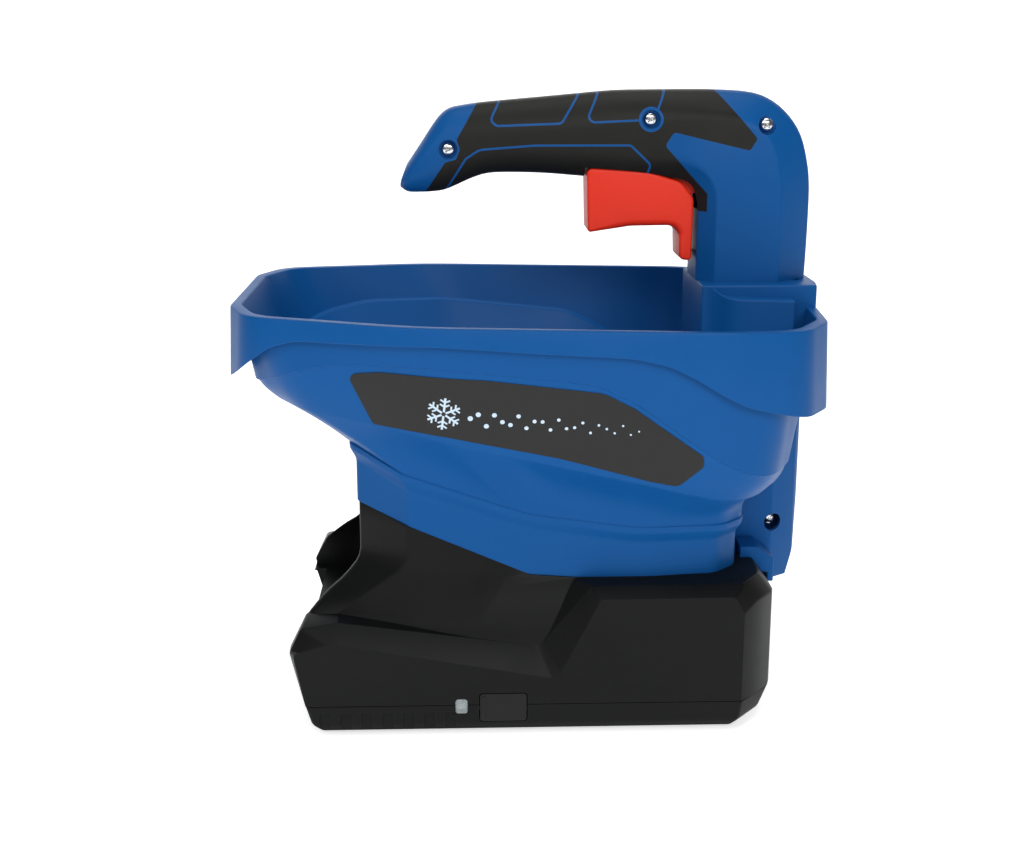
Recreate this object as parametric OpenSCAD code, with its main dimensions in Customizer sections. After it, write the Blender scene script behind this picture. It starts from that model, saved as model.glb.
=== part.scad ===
// Handheld salt spreader in millimetres, +Z up.
// The open mouth faces -X, the rear column stands at +X and the left side is -Y.
// The origin is on the ground, under the middle of the overall box.

/* [Hopper] */
// Height of the rim above the ground
rim_z = 203.5; // [201:0.5:206]
// Wall thickness of the hopper
hopper_wall = 3; // [2.5:0.1:3.5]
// Height of the hopper floor's underside, where it is level
seat_z = 75; // [74.5:0.1:75.5]
// Thickness of the hanging skirt
skirt_wall = 2.6; // [2:0.1:3]
// How far the skirt spreads outwards from the rim to its lower edge
skirt_flare = 1.6; // [1:0.1:1.8]

/* [Handle] */
// Half the width of the grip
grip_half = 17; // [16.5:0.1:17.5]
// Half the width of the column
column_half = 22; // [21.5:0.1:22]
// Wall thickness of the two handle shells
shell_wall = 2.6; // [2.2:0.1:3]
// Thickness of the soft overmould
mould_t = 1.4; // [1:0.1:1.6]
// Radius of the recess round each handle screw
recess_r = 4.5; // [4.2:0.1:4.8]

/* [Trigger] */
// Half the width of the trigger
trigger_half = 13; // [11:0.5:13]
// Travel of the trigger in degrees
trigger_travel = 10; // [6:1:10]
// Radius of the trigger's pivot pin
pivot_r = 2; // [1.8:0.1:2.2]
// Distance from the trigger's pivot to the push rod
trigger_arm = 25; // [24:0.5:26]

/* [Base] */
// Height of the seam between the housing and the cover
seam_z = 16; // [15.5:0.5:16.5]
// Wall thickness of the base
base_wall = 2.6; // [2.4:0.1:3]
// Half the width of the base
base_half = 79; // [78:0.5:80]
// Top of the mouth's floor
deck_z = 37; // [36.5:0.5:37.5]
// Height of the rubber feet
foot_h = 3; // [2:0.5:4]

/* [Spinner] */
// Position of the spinner's axis along X
spinner_x = -24; // [-26:1:-22]
// Radius of the spinner disc
disc_r = 46; // [40:1:48]
// Number of vanes on the disc
vanes = 6; // [4:1:8]
// Radius of the spinner's shaft
shaft_r = 3; // [2.5:0.1:3.2]
// Number of teeth on the drive gear
gear_teeth = 48; // [40:4:52]
// Number of teeth on the motor's pinion
pinion_teeth = 12; // [12:1:14]
// Module of the gears
gear_module = 0.8; // [0.75:0.05:0.8]

/* [Shutter] */
// Length of the outlet in the hopper's floor
outlet_l = 10; // [8:0.5:10]
// Width of the outlet in the hopper's floor
outlet_w = 24; // [16:1:24]
// How far the shutter slides to open
shutter_travel = 11.3; // [11:0.1:11.5]

/* [Hidden] */
$fn = 48;

blue = "#0f5ca8";
black = "#232424";
soft_black = "#2c2c2a";
red = "#ec3c20";

arc_steps = 5;
gap = 0.3;
far = 400;

// ---------------------------------------------------------------- outlines

function unit(v) = v / norm(v);

// The arc of radius r that rounds the corner b between a and c
function corner_arc(a, b, c, r) =
    let (
        u = unit(a - b),
        v = unit(c - b),
        half = acos(u * v) / 2,
        centre = b + unit(u + v) * r / sin(half),
        from = b + u * r / tan(half) - centre,
        to = b + v * r / tan(half) - centre,
        start = atan2(from.y, from.x),
        turn = atan2(from.x * to.y - from.y * to.x, from * to)
    )
    [for (i = [0 : arc_steps]) centre + r * [cos(start + turn * i / arc_steps), sin(start + turn * i / arc_steps)]];

// An outline from corners [x, y, radius]; radius 0 is a sharp corner
function rounded(corners) =
    let (n = len(corners), at = [for (c = corners) [c.x, c.y]])
    [for (i = [0 : n - 1])
        each (corners[i].z > 0
            ? corner_arc(at[(i + n - 1) % n], at[i], at[(i + 1) % n], corners[i].z)
            : [at[i]])];

// A half outline on the +Y side, closed by its mirror image, counter-clockwise from above
function both_sides(half) =
    let (n = len(half))
    concat([for (c = half) [c.x, -c.y, c.z]], [for (i = [n - 1 : -1 : 0]) half[i]]);

// A plan's corners moved inwards by t
function inset(half, t) = [for (c = half) [c.x + (c.x < 0 ? t : -t), c.y - t, max(c.z - t, 1)]];

// A flat outline lifted to the height that a table gives for each x
function lift(outline, table) = [for (p = outline) [p.x, p.y, lookup(p.x, table)]];

// A solid through rings of equally many points; the first and the last are level
module loft(rings) {
    n = len(rings[0]);
    last = (len(rings) - 1) * n;
    polyhedron(
        points = [for (ring = rings) each ring],
        faces = concat(
            [[for (i = [0 : n - 1]) i]],
            [for (k = [0 : len(rings) - 2]) for (i = [0 : n - 1])
                each [
                    [k * n + i, k * n + n + i, k * n + n + (i + 1) % n],
                    [k * n + i, k * n + n + (i + 1) % n, k * n + (i + 1) % n]
                ]],
            [[for (i = [n - 1 : -1 : 0]) last + i]]
        ),
        convexity = 8
    );
}

// A side view (x, z) drawn as a solid between y = low and y = high
module side(outline, low, high) {
    translate([0, high, 0]) rotate([90, 0, 0]) linear_extrude(high - low, convexity = 6) polygon(outline);
}

module side_both(outline, half) {
    side(outline, -half, half);
}

module tube(outer, inner, height) {
    difference() {
        cylinder(r = outer, h = height);
        translate([0, 0, -1]) cylinder(r = inner, h = height + 2);
    }
}

// A cylinder along Y between y = low and y = high
module along_y(x, z, r, low, high) {
    translate([x, high, z]) rotate([90, 0, 0]) cylinder(r = r, h = high - low);
}

// ---------------------------------------------------------------- hopper

rim_plan = [[-141.6, 62, 26], [-122, 87, 30], [-35, 104, 110], [84, 104, 60], [120, 94, 26], [138.4, 60, 26], [141.2, 30, 60]];
ridge_plan = [[-128, 56, 20], [-112, 78, 24], [-40, 96, 90], [78, 97, 50], [110, 88, 24], [124, 58, 24], [126, 30, 50]];
crease_plan = [[-118, 50, 16], [-104, 69, 18], [-40, 84, 70], [70, 85, 45], [102, 78, 22], [117, 52, 20], [119, 26, 45]];
lip_plan = [[-86, 46, 6], [-60, 64, 6], [-10, 65, 40], [60, 65.5, 40], [92, 62, 14], [104, 50, 10], [105, 20, 30]];
collar_plan = inset(lip_plan, 2.5);

// Heights of the hopper's lines along X
ridge_line = [[-128, 172], [-108, 181], [-85, 186], [-44, 185.5], [27, 178], [45, 170], [87, 140], [104, 132], [126, 131]];
crease_line = [[-118, 163], [-69, 155], [56, 127], [90, 118], [119, 120]];
lip_line = [[-86, 140], [-60, 128], [0, 108], [50, 101], [105, 101]];
skirt_edge = [
    [-150, 168], [-141, 173], [-130, 184], [-118, 193], [-106, 196.5], [-44, 196.5], [3, 193.3], [44, 191],
    [60, 187.5], [73, 181], [85, 173.5], [95, 168.5], [106, 165.5], [125, 161.5], [150, 159.5]
];
seat_line = [[-150, 151], [-82, 114], [-58, 101], [0, seat_z + 1], [20, seat_z], [150, seat_z]];

// The side view of all that lies below a line, or above it
function below(line, drop) = concat([for (p = line) [p.x, p.y - drop]], [[150, -50], [-150, -50]]);
function above(line, rise) = concat([for (p = line) [p.x, p.y + rise]], [[150, far], [-150, far]]);

module hopper_shape(t) {
    low_z = 60;
    loft([
        lift(rounded(both_sides(inset(collar_plan, t))), [[0, low_z]]),
        lift(rounded(both_sides(inset(lip_plan, t))), lip_line),
        lift(rounded(both_sides(inset(crease_plan, t))), crease_line),
        lift(rounded(both_sides(inset(ridge_plan, t))), ridge_line),
        lift(rounded(both_sides(inset(rim_plan, 2 + t))), [[0, rim_z + (t > 0 ? 1 : 0)]])
    ]);
}

module skirt_shape(t) {
    bottom_z = 150;
    grown = inset(rim_plan, t - skirt_flare);
    loft([
        lift(rounded(both_sides(grown)), [[0, bottom_z]]),
        lift(rounded(both_sides(inset(rim_plan, t))), [[0, rim_z + (t > 0 ? 1 : 0)]])
    ]);
}

module skirt() {
    difference() {
        skirt_shape(0);
        skirt_shape(skirt_wall);
        side_both(below(skirt_edge, 0), 150);
    }
}

// The column and the spine fit into the pedestal and the channel below it
channel_half = 20.6;
pedestal_top = 212;
pedestal_front = 84.6;
pedestal_rear = 142.2;
pedestal_half = 32;
pocket_z = 190;
insert_step = 4;

column_plan = [[84, 14], [92, 22], [123.5, 22], [139, 12], [141, 8]];
function column_outline(t) =
    let (half = [for (p = column_plan) [p.x < 100 ? p.x - t : p.x + t, p.y + t]])
    concat([for (p = half) [p.x, -p.y]], [for (i = [len(half) - 1 : -1 : 0]) half[i]]);

module pedestal() {
    translate([pedestal_front, -pedestal_half, 60])
        cube([pedestal_rear - pedestal_front, 2 * pedestal_half, pedestal_top - 60]);
}

module hopper_blank() {
    difference() {
        union() {
            hopper_shape(0);
            skirt();
        }
        intersection() {
            hopper_shape(hopper_wall);
            side_both(above(seat_line, hopper_wall), 150);
        }
    }
    // The pedestal stands inside the hopper and rises above its rim
    intersection() {
        pedestal();
        union() {
            hopper_shape(0);
            translate([pedestal_front - 1, -50, pocket_z - 2]) cube([60, 100, 60]);
        }
    }
}

outlet_x = 9;

module hopper() {
    color(blue) difference() {
        hopper_blank();
        side_both(below(seat_line, 0), 150);
        // Pocket for the column's lower end
        translate([0, 0, pocket_z]) linear_extrude(40) polygon(column_outline(gap - insert_step));
        // Channel for the spine, open to the rear below the skirt
        translate([pedestal_front + hopper_wall, -channel_half, 40])
            cube([pedestal_rear - pedestal_front - hopper_wall - 0.5, 2 * channel_half, pocket_z - 39]);
        // Outlet over the shutter
        translate([outlet_x - outlet_l / 2, -outlet_w / 2, seat_z - 5]) cube([outlet_l, outlet_w, 20]);
        // Hole for the spinner's shaft
        translate([spinner_x, 0, 60]) cylinder(r = shaft_seal_r, h = 60);
    }
    // Bosses for the screws that come up through the base's roof
    color(blue) for (p = hopper_screw_at) translate([p.x, p.y, roof_z + 0.1]) difference() {
        cylinder(r = 4, h = seat_z + 3 - roof_z);
        translate([0, 0, -1]) cylinder(r = screw_r, h = 8);
    }
}

// Label inlays that follow the sloping side, between the ridge and the crease
label_outline = rounded([
    [-81, 183, 2], [-68.5, 184.5, 2], [35, 174, 6], [47, 166, 3], [77, 144, 4], [77, 139, 4], [65, 129.5, 4],
    [53, 132, 6], [12, 143.5, 20], [-71, 160, 3]
]);
label_t = 0.8;

module label_skin(s) {
    color(soft_black) intersection() {
        side(label_outline, s < 0 ? -120 : 40, s < 0 ? -40 : 120);
        difference() {
            hopper_shape(-label_t);
            hopper_shape(0);
        }
    }
}

module hopper_label_left() {
    label_skin(-1);
}

module hopper_label_right() {
    label_skin(1);
}

// ---------------------------------------------------------------- handle

screw_head_r = 3.4;
screw_r = 1.5;
handle_screw_at = [[-37.4, 276], [60, 290], [115.8, 287.3]];
handle_screw_half = [grip_half - 1, grip_half, column_half];
spine_screw_at = [127, 87.4];
spine_half = 20;
spine_front = 107;
pivot_at = [99, 262];
rod_x = pivot_at.x + trigger_arm;
rod_r = 2;
crank_at = [rod_x - 10, 96];
boss_r = 5;

handle_corners = [
    [84, pocket_z, 0], [141, pocket_z, 0], [141, 262, 30], [127, 303.8, 26], [45, 303.4, 60], [-41.5, 296, 8],
    [-67, 255, 7], [-40, 255, 8], [-22, 264.2, 10], [10, 264, 40], [80, 257, 6], [84, 247, 4]
];
grip_top = [[-70, 293.6], [-41.5, 296], [45, 303.4], [100, 303.8]];
grip_bottom = [[-70, 255], [-40, 255], [-22, 264.2], [10, 264], [84, 256.6], [100, 255]];
section_sides = 20;

// Corners of a closed outline moved inwards by t; the outline runs counter-clockwise
function shrink(corners, t) =
    let (n = len(corners), at = [for (c = corners) [c.x, c.y]])
    [for (i = [0 : n - 1])
        let (
            u = unit(at[i] - at[(i + n - 1) % n]),
            v = unit(at[(i + 1) % n] - at[i]),
            a = [-u.y, u.x],
            b = [-v.y, v.x],
            p = at[i] + (a + b) * t / (1 + a * b)
        )
        [p.x, p.y, corners[i].z > 0 ? max(corners[i].z - t, 0.5) : 0]];

function power(v, e) = sign(v) * pow(abs(v), e);

function grip_ring(x, t) =
    let (
        top = lookup(x, grip_top) - t,
        bottom = lookup(x, grip_bottom) + t,
        half = (x < -30 ? grip_half - 1 : grip_half) - t,
        e = 0.62
    )
    [for (i = [0 : section_sides - 1])
        let (a = (i + 0.5) * 360 / section_sides)
        [x, half * power(cos(a), e), (top + bottom) / 2 + (top - bottom) / 2 * power(sin(a), e)]];

module grip_solid(t) {
    stations = [-70, -41.5, -32, -22, -8, 10, 45, 84, 95];
    intersection() {
        loft([for (x = stations) grip_ring(x, t)]);
        side_both(rounded(shrink(handle_corners, t)), 40);
    }
}

// The column stands on the pedestal; its narrower lower end goes into the pocket
module column_solid(t) {
    intersection() {
        union() {
            translate([0, 0, pedestal_top + t]) linear_extrude(110) polygon(column_outline(-t));
            translate([0, 0, 180]) linear_extrude(60) polygon(column_outline(-t - insert_step));
        }
        side_both(rounded(shrink(handle_corners, t)), 40);
    }
}

// The spine hangs behind the hopper and rests on the base
spine_step_z = 67;
spine_foot_z = 57;
spine_rear = 141;
spine_side = [
    [spine_front, pocket_z, 0], [spine_front, spine_step_z, 0], [121.4, spine_step_z, 0], [121.4, spine_foot_z, 0],
    [136, spine_foot_z, 0], [140, 70, 0], [spine_rear, 100, 0], [spine_rear, pocket_z, 0]
];
spine_plan = [[spine_front, spine_half], [126, spine_half], [139, 11], [spine_rear, 8]];

module spine_solid(t) {
    plan = [for (p = spine_plan) [p.x + (p.x < 110 ? t : -t), p.y - t]];
    intersection() {
        translate([0, 0, 40]) linear_extrude(160)
            polygon(concat([for (p = plan) [p.x, -p.y]], [for (i = [len(plan) - 1 : -1 : 0]) plan[i]]));
        side_both([for (p = shrink(spine_side, t)) [p.x, p.y]], 40);
    }
}

// The full handle: outer shape for t = 0, hollow shapes for larger t
module handle_solid(t) {
    grip_solid(t);
    column_solid(t);
    spine_solid(t);
}

mould_outline = [
    [-20, 310], [-33, 284], [-32, 276], [-34, 270], [-41, 267], [-54, 246], [88, 246], [88, 262], [67, 277.6], [71, 284],
    [107.4, 275.4], [111, 281], [84, 310]
];

module mould_band() {
    difference() {
        intersection() {
            union() {
                grip_solid(0);
                column_solid(0);
            }
            side_both(mould_outline, 40);
        }
        grip_solid(mould_t);
        column_solid(mould_t);
        // Room for the trigger under the grip, and for the recess round the second screw
        trigger_slot();
        along_y(handle_screw_at[1].x, handle_screw_at[1].y, recess_r + 1.5, -40, 0);
    }
}

module half_space(s) {
    translate([-200, s < 0 ? -100 : 0, 0]) cube([400, 100, 400]);
}

slot_half = trigger_half + 0.5;

module trigger_slot() {
    translate([28.8, -slot_half, 230]) cube([56, 2 * slot_half, 51.5]);
    translate([80, -8.6, 246]) cube([16, 17.2, 26]);
}

module handle_cavity() {
    difference() {
        union() {
            grip_solid(shell_wall + mould_t);
            column_solid(shell_wall + mould_t);
            spine_solid(shell_wall);
            // Free way from the column into the spine
            translate([spine_front + shell_wall, -13, 170]) cube([23, 26, 40]);
        }
        for (i = [0 : 2])
            along_y(handle_screw_at[i].x, handle_screw_at[i].y, boss_r, -40, 40);
        // Bosses that hold the two pivot pins and the lower screw, apart so that the crank can turn
        for (s = [-1, 1]) {
            low = s < 0 ? -40 : 8.4;
            along_y(pivot_at.x, pivot_at.y, boss_r, low, low + 31.6);
            for (p = [crank_at, spine_screw_at])
                along_y(p.x, p.y, boss_r, s < 0 ? -40 : 3.4, s < 0 ? -3.4 : 40);
        }
        // Ribs that guide the push rod
        for (z = [118, 160, 214])
            translate([rod_x - 5, -30, z]) cube([10, 60, 3]);
    }
    translate([rod_x, 0, 90]) cylinder(r = rod_r + gap, h = 175);
}

module handle_shell(s) {
    color(blue) difference() {
        intersection() {
            handle_solid(0);
            half_space(s);
        }
        handle_cavity();
        mould_band();
        trigger_slot();
        // Open foot for the shutter, the crank and the wires
        translate([spine_front - 1, -16.6, spine_step_z - 1]) cube([14.2, 33.2, 14]);
        // Slot that lets the crank's long arm swing forward
        translate([spine_front - 1, -2.8, spine_step_z + 10]) cube([5, 5.6, 26]);
        // Pin holes
        along_y(pivot_at.x, pivot_at.y, pivot_r, -16, 16);
        along_y(crank_at.x, crank_at.y, pivot_r, -12, 12);
        for (i = [0 : 2]) {
            head_y = -handle_screw_half[i] + 3.6;
            along_y(handle_screw_at[i].x, handle_screw_at[i].y, recess_r, -40, head_y);
            along_y(handle_screw_at[i].x, handle_screw_at[i].y, screw_r, -40, 12);
        }
        along_y(spine_screw_at.x, spine_screw_at.y, recess_r, -40, -10);
        along_y(spine_screw_at.x, spine_screw_at.y, screw_r, -40, 12);
    }
}

module handle_shell_left() {
    handle_shell(-1);
}

module handle_shell_right() {
    handle_shell(1);
}

module grip_overmould(s) {
    color(soft_black) intersection() {
        mould_band();
        half_space(s);
    }
}

module grip_overmould_left() {
    grip_overmould(-1);
}

module grip_overmould_right() {
    grip_overmould(1);
}

// A screw along +Y: head at y = 0, point at y = length
module screw_y(length) {
    rotate([-90, 0, 0]) {
        difference() {
            cylinder(r = screw_head_r, h = 2);
            for (a = [0, 90]) rotate([0, 0, a]) translate([-2, -0.4, -1]) cube([4, 0.8, 2.2]);
        }
        cylinder(r = screw_r, h = length);
    }
}

module handle_screws() {
    color("silver") for (i = [0 : 2])
        translate([handle_screw_at[i].x, -handle_screw_half[i] + 1.6, handle_screw_at[i].y])
            screw_y(handle_screw_half[i] + 8);
}

module spine_screw() {
    color("silver") translate([spine_screw_at.x, -12, spine_screw_at.y]) screw_y(22);
}

// ---------------------------------------------------------------- trigger, switch and linkage

trigger_outline = rounded([
    [29.7, 267, 3], [60, 265, 30], [76, 260, 8], [82.4, 252, 5], [82, 221, 1.5], [76, 222, 2.5], [75.4, 238.7, 6],
    [52, 238.4, 30], [30.5, 235.5, 1.5]
]);
hub_r = 5.5;
hub_half = 8;
arm_low = pivot_at.y - 2.5;

module trigger() {
    color(red) difference() {
        union() {
            side_both(trigger_outline, trigger_half);
            // Neck, hub and the arm that works the switch and the rod
            side_both([[70, 252], [82, 254], [pivot_at.x, pivot_at.y - 5], [pivot_at.x, pivot_at.y + 4], [78, 262], [70, 262]],
                hub_half);
            along_y(pivot_at.x, pivot_at.y, hub_r, -hub_half, hub_half);
            translate([pivot_at.x, -3, arm_low]) cube([trigger_arm + 4, 6, 5]);
        }
        along_y(pivot_at.x, pivot_at.y, pivot_r + 0.06, -20, 20);
        // Hollow blade, open above
        translate([33, -trigger_half + 2.4, 241]) cube([36, 2 * trigger_half - 4.8, 40]);
    }
    // Seat for the return spring
    color(red) translate([spring_x, 0, 240.5]) {
        cylinder(r = 2.2, h = 24);
        cylinder(r = 5, h = 15);
    }
}

module trigger_pivot_pin() {
    color("silver") along_y(pivot_at.x, pivot_at.y, pivot_r, -15.8, 15.8);
}

// A round tube swept along points; rings is the list of its centres
module sweep(path, r, sides) {
    n = len(path);
    frame = function(i) unit(path[min(i + 1, n - 1)] - path[max(i - 1, 0)]);
    reference = [0.31, 0.9, 0.29];
    loft_rings = [for (i = [0 : n - 1])
        let (
            d = frame(i),
            u = unit(cross(d, reference)),
            v = cross(d, u)
        )
        [for (k = [0 : sides - 1]) path[i] + r * (u * cos(k * 360 / sides) + v * sin(k * 360 / sides))]];
    loft(loft_rings);
}

// A smooth path through hand-placed points, with steps rings for each stretch
function smooth(p, steps) =
    let (n = len(p))
    concat([for (i = [0 : n - 2]) for (k = [0 : steps - 1])
        let (
            t = k / steps,
            a = i == 0 ? 2 * p[0] - p[1] : p[i - 1],
            b = p[i],
            c = p[i + 1],
            d = i == n - 2 ? 2 * p[n - 1] - p[n - 2] : p[i + 2]
        )
        0.5 * (2 * b + (c - a) * t + (2 * a - 5 * b + 4 * c - d) * t * t + (3 * b - a - 3 * c + d) * t * t * t)],
        [p[n - 1]]);

spring_x = 44;
spring_low = 256;
spring_high = 299;
spring_turns = 5;

module trigger_spring() {
    steps = 13;
    coil_r = 3.8;
    last = spring_turns * steps;
    color("silver") translate([spring_x, 0, 0])
        sweep([for (i = [0 : last])
            let (a = i * 360 / steps)
            [coil_r * cos(a), coil_r * sin(a), spring_low + 0.6 + (spring_high - spring_low - 1.2) * i / last]], 0.5, 6);
}

switch_box = [18.6, 6.4, 10];
plunger_x = pivot_at.x + 9;
plunger_r = 1;
switch_top = 255.4;

module micro_switch() {
    color("dimgray") difference() {
        union() {
            translate([100.5, -switch_box.y / 2, switch_top - switch_box.z]) cube(switch_box);
            for (x = [104, 110.5, 117])
                translate([x, -1.5, switch_top - switch_box.z - 4]) cube([0.8, 3, 5]);
        }
        translate([plunger_x, 0, switch_top - 4]) cylinder(r = plunger_r + 0.08, h = 5);
    }
}

module switch_plunger() {
    color("crimson") translate([plunger_x, 0, switch_top - 2]) cylinder(r = plunger_r, h = arm_low - gap - switch_top + 2);
}

module push_rod() {
    color("silver") translate([rod_x, 0, crank_at.y + rod_r + gap]) cylinder(r = rod_r, h = arm_low - crank_at.y - rod_r - 3 * gap);
}

crank_arm = 28;

module bell_crank() {
    color("white") difference() {
        union() {
            along_y(crank_at.x, crank_at.y, 4.4, -3, 3);
            along_y(rod_x, crank_at.y, 2, -3, 3);
            translate([crank_at.x, -3, crank_at.y - 1.6]) cube([10, 6, 2.8]);
            translate([crank_at.x - 1.8, -1.9, crank_at.y - crank_arm]) cube([3.6, 3.8, crank_arm]);
        }
        along_y(crank_at.x, crank_at.y, pivot_r + 0.06, -5, 5);
    }
}

module bell_crank_pin() {
    color("silver") along_y(crank_at.x, crank_at.y, pivot_r, -11.8, 11.8);
}

shutter_z = seat_z - 3.4;
shutter_t = 2;
shutter_half = 15;

module shutter() {
    window_x = outlet_x + shutter_travel;
    color("gainsboro") difference() {
        union() {
            translate([1, -shutter_half, shutter_z]) cube([85, 2 * shutter_half, shutter_t]);
            translate([80, -5, shutter_z]) cube([crank_at.x + 5.4 - 80, 10, shutter_t]);
        }
        translate([window_x - outlet_l / 2, -outlet_w / 2, shutter_z - 1]) cube([outlet_l, outlet_w, 4]);
        translate([crank_at.x - 3.1, -2.4, shutter_z - 1]) cube([6.2, 4.8, 4]);
    }
}

guide_rail_w = 3.4;
guide_low = shutter_z - 1.6;

module shutter_guide() {
    rail_y = shutter_half + gap;
    color("gainsboro") difference() {
        union() {
            for (s = [-1, 1]) {
                translate([-12, s < 0 ? -rail_y - guide_rail_w : rail_y, guide_low]) cube([96, guide_rail_w, seat_z - guide_low - 0.02]);
                translate([-12, s < 0 ? -rail_y : rail_y - 2.6, guide_low]) cube([96, 2.6, 1.3]);
            }
            // Throat that drops the salt on the disc
            translate([outlet_x - outlet_l / 2 - 2.4, -rail_y, 60.5])
                cube([outlet_l + 4.8, 2 * rail_y, guide_low + 1.3 - 60.5]);
        }
        translate([outlet_x - outlet_l / 2, -outlet_w / 2, 50]) cube([outlet_l, outlet_w, 30]);
    }
}

// ---------------------------------------------------------------- base

base_plan = [[-117, 66], [-112, base_half - 4], [-104, base_half], [104, base_half], [119, 61], [121, 56]];
function base_outline(t) =
    let (half = [for (p = base_plan) [p.x < 0 ? p.x + t : p.x - t, p.y - t]])
    concat([for (p = half) [p.x, -p.y]], [for (i = [len(half) - 1 : -1 : 0]) half[i]]);

// The side view of the lower box: a low front with wings and a high rear
box_side = [
    [120, seam_z, 0], [120.5, 58, 0], [113, 65.5, 0], [104, 66.4, 0], [101, 69.8, 0], [22, 69.8, 0], [14, 60, 0],
    [4, 49, 0], [-5, 48, 0], [-92, 61, 0], [-107, 60, 0], [-112, 54, 0], [-116.7, 41, 0], [-109.5, seam_z, 0]
];
roof_z = 69.8;
wing_side = [[-109, 36], [-116.7, 41], [-107, 60], [-90, 73], [-82, 86], [-82, 112], [-60, 100], [-40, 60], [-40, 36]];
cover_side = [
    [-109.5, seam_z, 0], [-106, 6, 0], [-100, foot_h, 0], [106, foot_h, 0], [113, 7, 0], [120, seam_z, 0]
];
bay_x = 34;
flap_box = [[-24.4, 7.4], [-1.8, 21.6]];
lens_box = [[-36.3, 11.4], [-30.3, 19]];
foot_at = [[-92, -62], [90, -62], [-92, 62], [90, 62]];
base_screw_at = [[-84, -52], [-84, 52], [26, -66], [26, 66], [108, -50], [108, 50]];
hopper_screw_at = [[44, -50], [44, 50], [80, -46], [80, 46]];

module side_corners(corners) {
    side_both([for (p = corners) [p.x, p.y]], 100);
}

module body_plan(t, low, high) {
    translate([0, 0, low]) linear_extrude(high - low) polygon(rounded(both_sides(inset(collar_plan, t))));
}

module housing_shape() {
    intersection() {
        side_corners(box_side);
        linear_extrude(120) polygon(base_outline(0));
    }
    difference() {
        body_plan(0, 36, 130);
        side_both(above(seat_line, 0), 100);
    }
    for (s = [-1, 1]) side(wing_side, s < 0 ? -72 : 46, s < 0 ? -46 : 72);
}

module windows() {
    translate([flap_box[0].x - 0.2, -base_half - 1, flap_box[0].y - 0.2])
        cube([flap_box[1].x - flap_box[0].x + 0.4, 5, flap_box[1].y - flap_box[0].y + 0.4]);
    translate([lens_box[0].x, -base_half - 1, lens_box[0].y])
        cube([lens_box[1].x - lens_box[0].x, 5, lens_box[1].y - lens_box[0].y]);
}

mouth_half = 66;

module mouth_space() {
    // Open front between the wings, narrowing to the throat of the body
    translate([0, 0, deck_z]) linear_extrude(86 - deck_z)
        polygon([[-130, -mouth_half], [-108, -mouth_half], [-60, -57], [bay_x - 6, -57], [bay_x - 6, 57], [-60, 57],
            [-108, mouth_half], [-130, mouth_half]]);
    translate([0, 0, 85]) linear_extrude(60) polygon([[-130, -43], [-82, -43], [-82, 43], [-130, 43]]);
    // Hollow body up to the hopper's floor
    intersection() {
        body_plan(base_wall, deck_z, 140);
        translate([-100, -100, deck_z]) cube([bay_x + 94, 200, 120]);
    }
    body_plan(base_wall, roof_z + 0.1, 140);
}

module base_housing() {
    color(black) difference() {
        housing_shape();
        mouth_space();
        // Space under the mouth's floor and the rear bay for the battery
        intersection() {
            translate([0, 0, 10]) linear_extrude(100) polygon(base_outline(base_wall));
            union() {
                side_corners(concat(shrink(box_side, base_wall), [[-105, 10, 0], [115, 10, 0]]));
                translate([-106, -100, 10]) cube([220, 200, 10]);
            }
            union() {
                translate([-107, -100, 10]) cube([bay_x + 107, 200, deck_z - base_wall - 10]);
                translate([bay_x, -100, 10]) cube([90, 200, 80]);
            }
        }
        windows();
        // Bush seat, holes for the hopper's screws and the wires
        translate([spinner_x, 0, 30]) cylinder(r = bush_r, h = 12);
        for (p = hopper_screw_at) translate([p.x, p.y, 60]) cylinder(r = screw_r + 0.1, h = 12);
        translate([112.6, 5, 50]) cube([5.2, 11, 20]);
        // Notch in the rear wall for the shutter's tail and the crank
        translate([98, -5.6, roof_z + 0.2]) cube([6, 11.2, 10]);
    }
    color(black) for (p = base_screw_at) difference() {
        top = p.x > bay_x ? 64 : deck_z - base_wall + 0.5;
        translate([p.x, p.y, 9.1]) cylinder(r = 4, h = top - 9.1);
        translate([p.x, p.y, 8]) cylinder(r = screw_r, h = 16);
    }
}

plate_z = 24;
motor_x = spinner_x + (gear_teeth + pinion_teeth) * gear_module / 2;
plate_post_at = [[-44, -12], [-44, 12], [motor_x + 13, -13], [motor_x + 13, 13]];
rib_pitch = 10.3;
ribs = 7;

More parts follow.
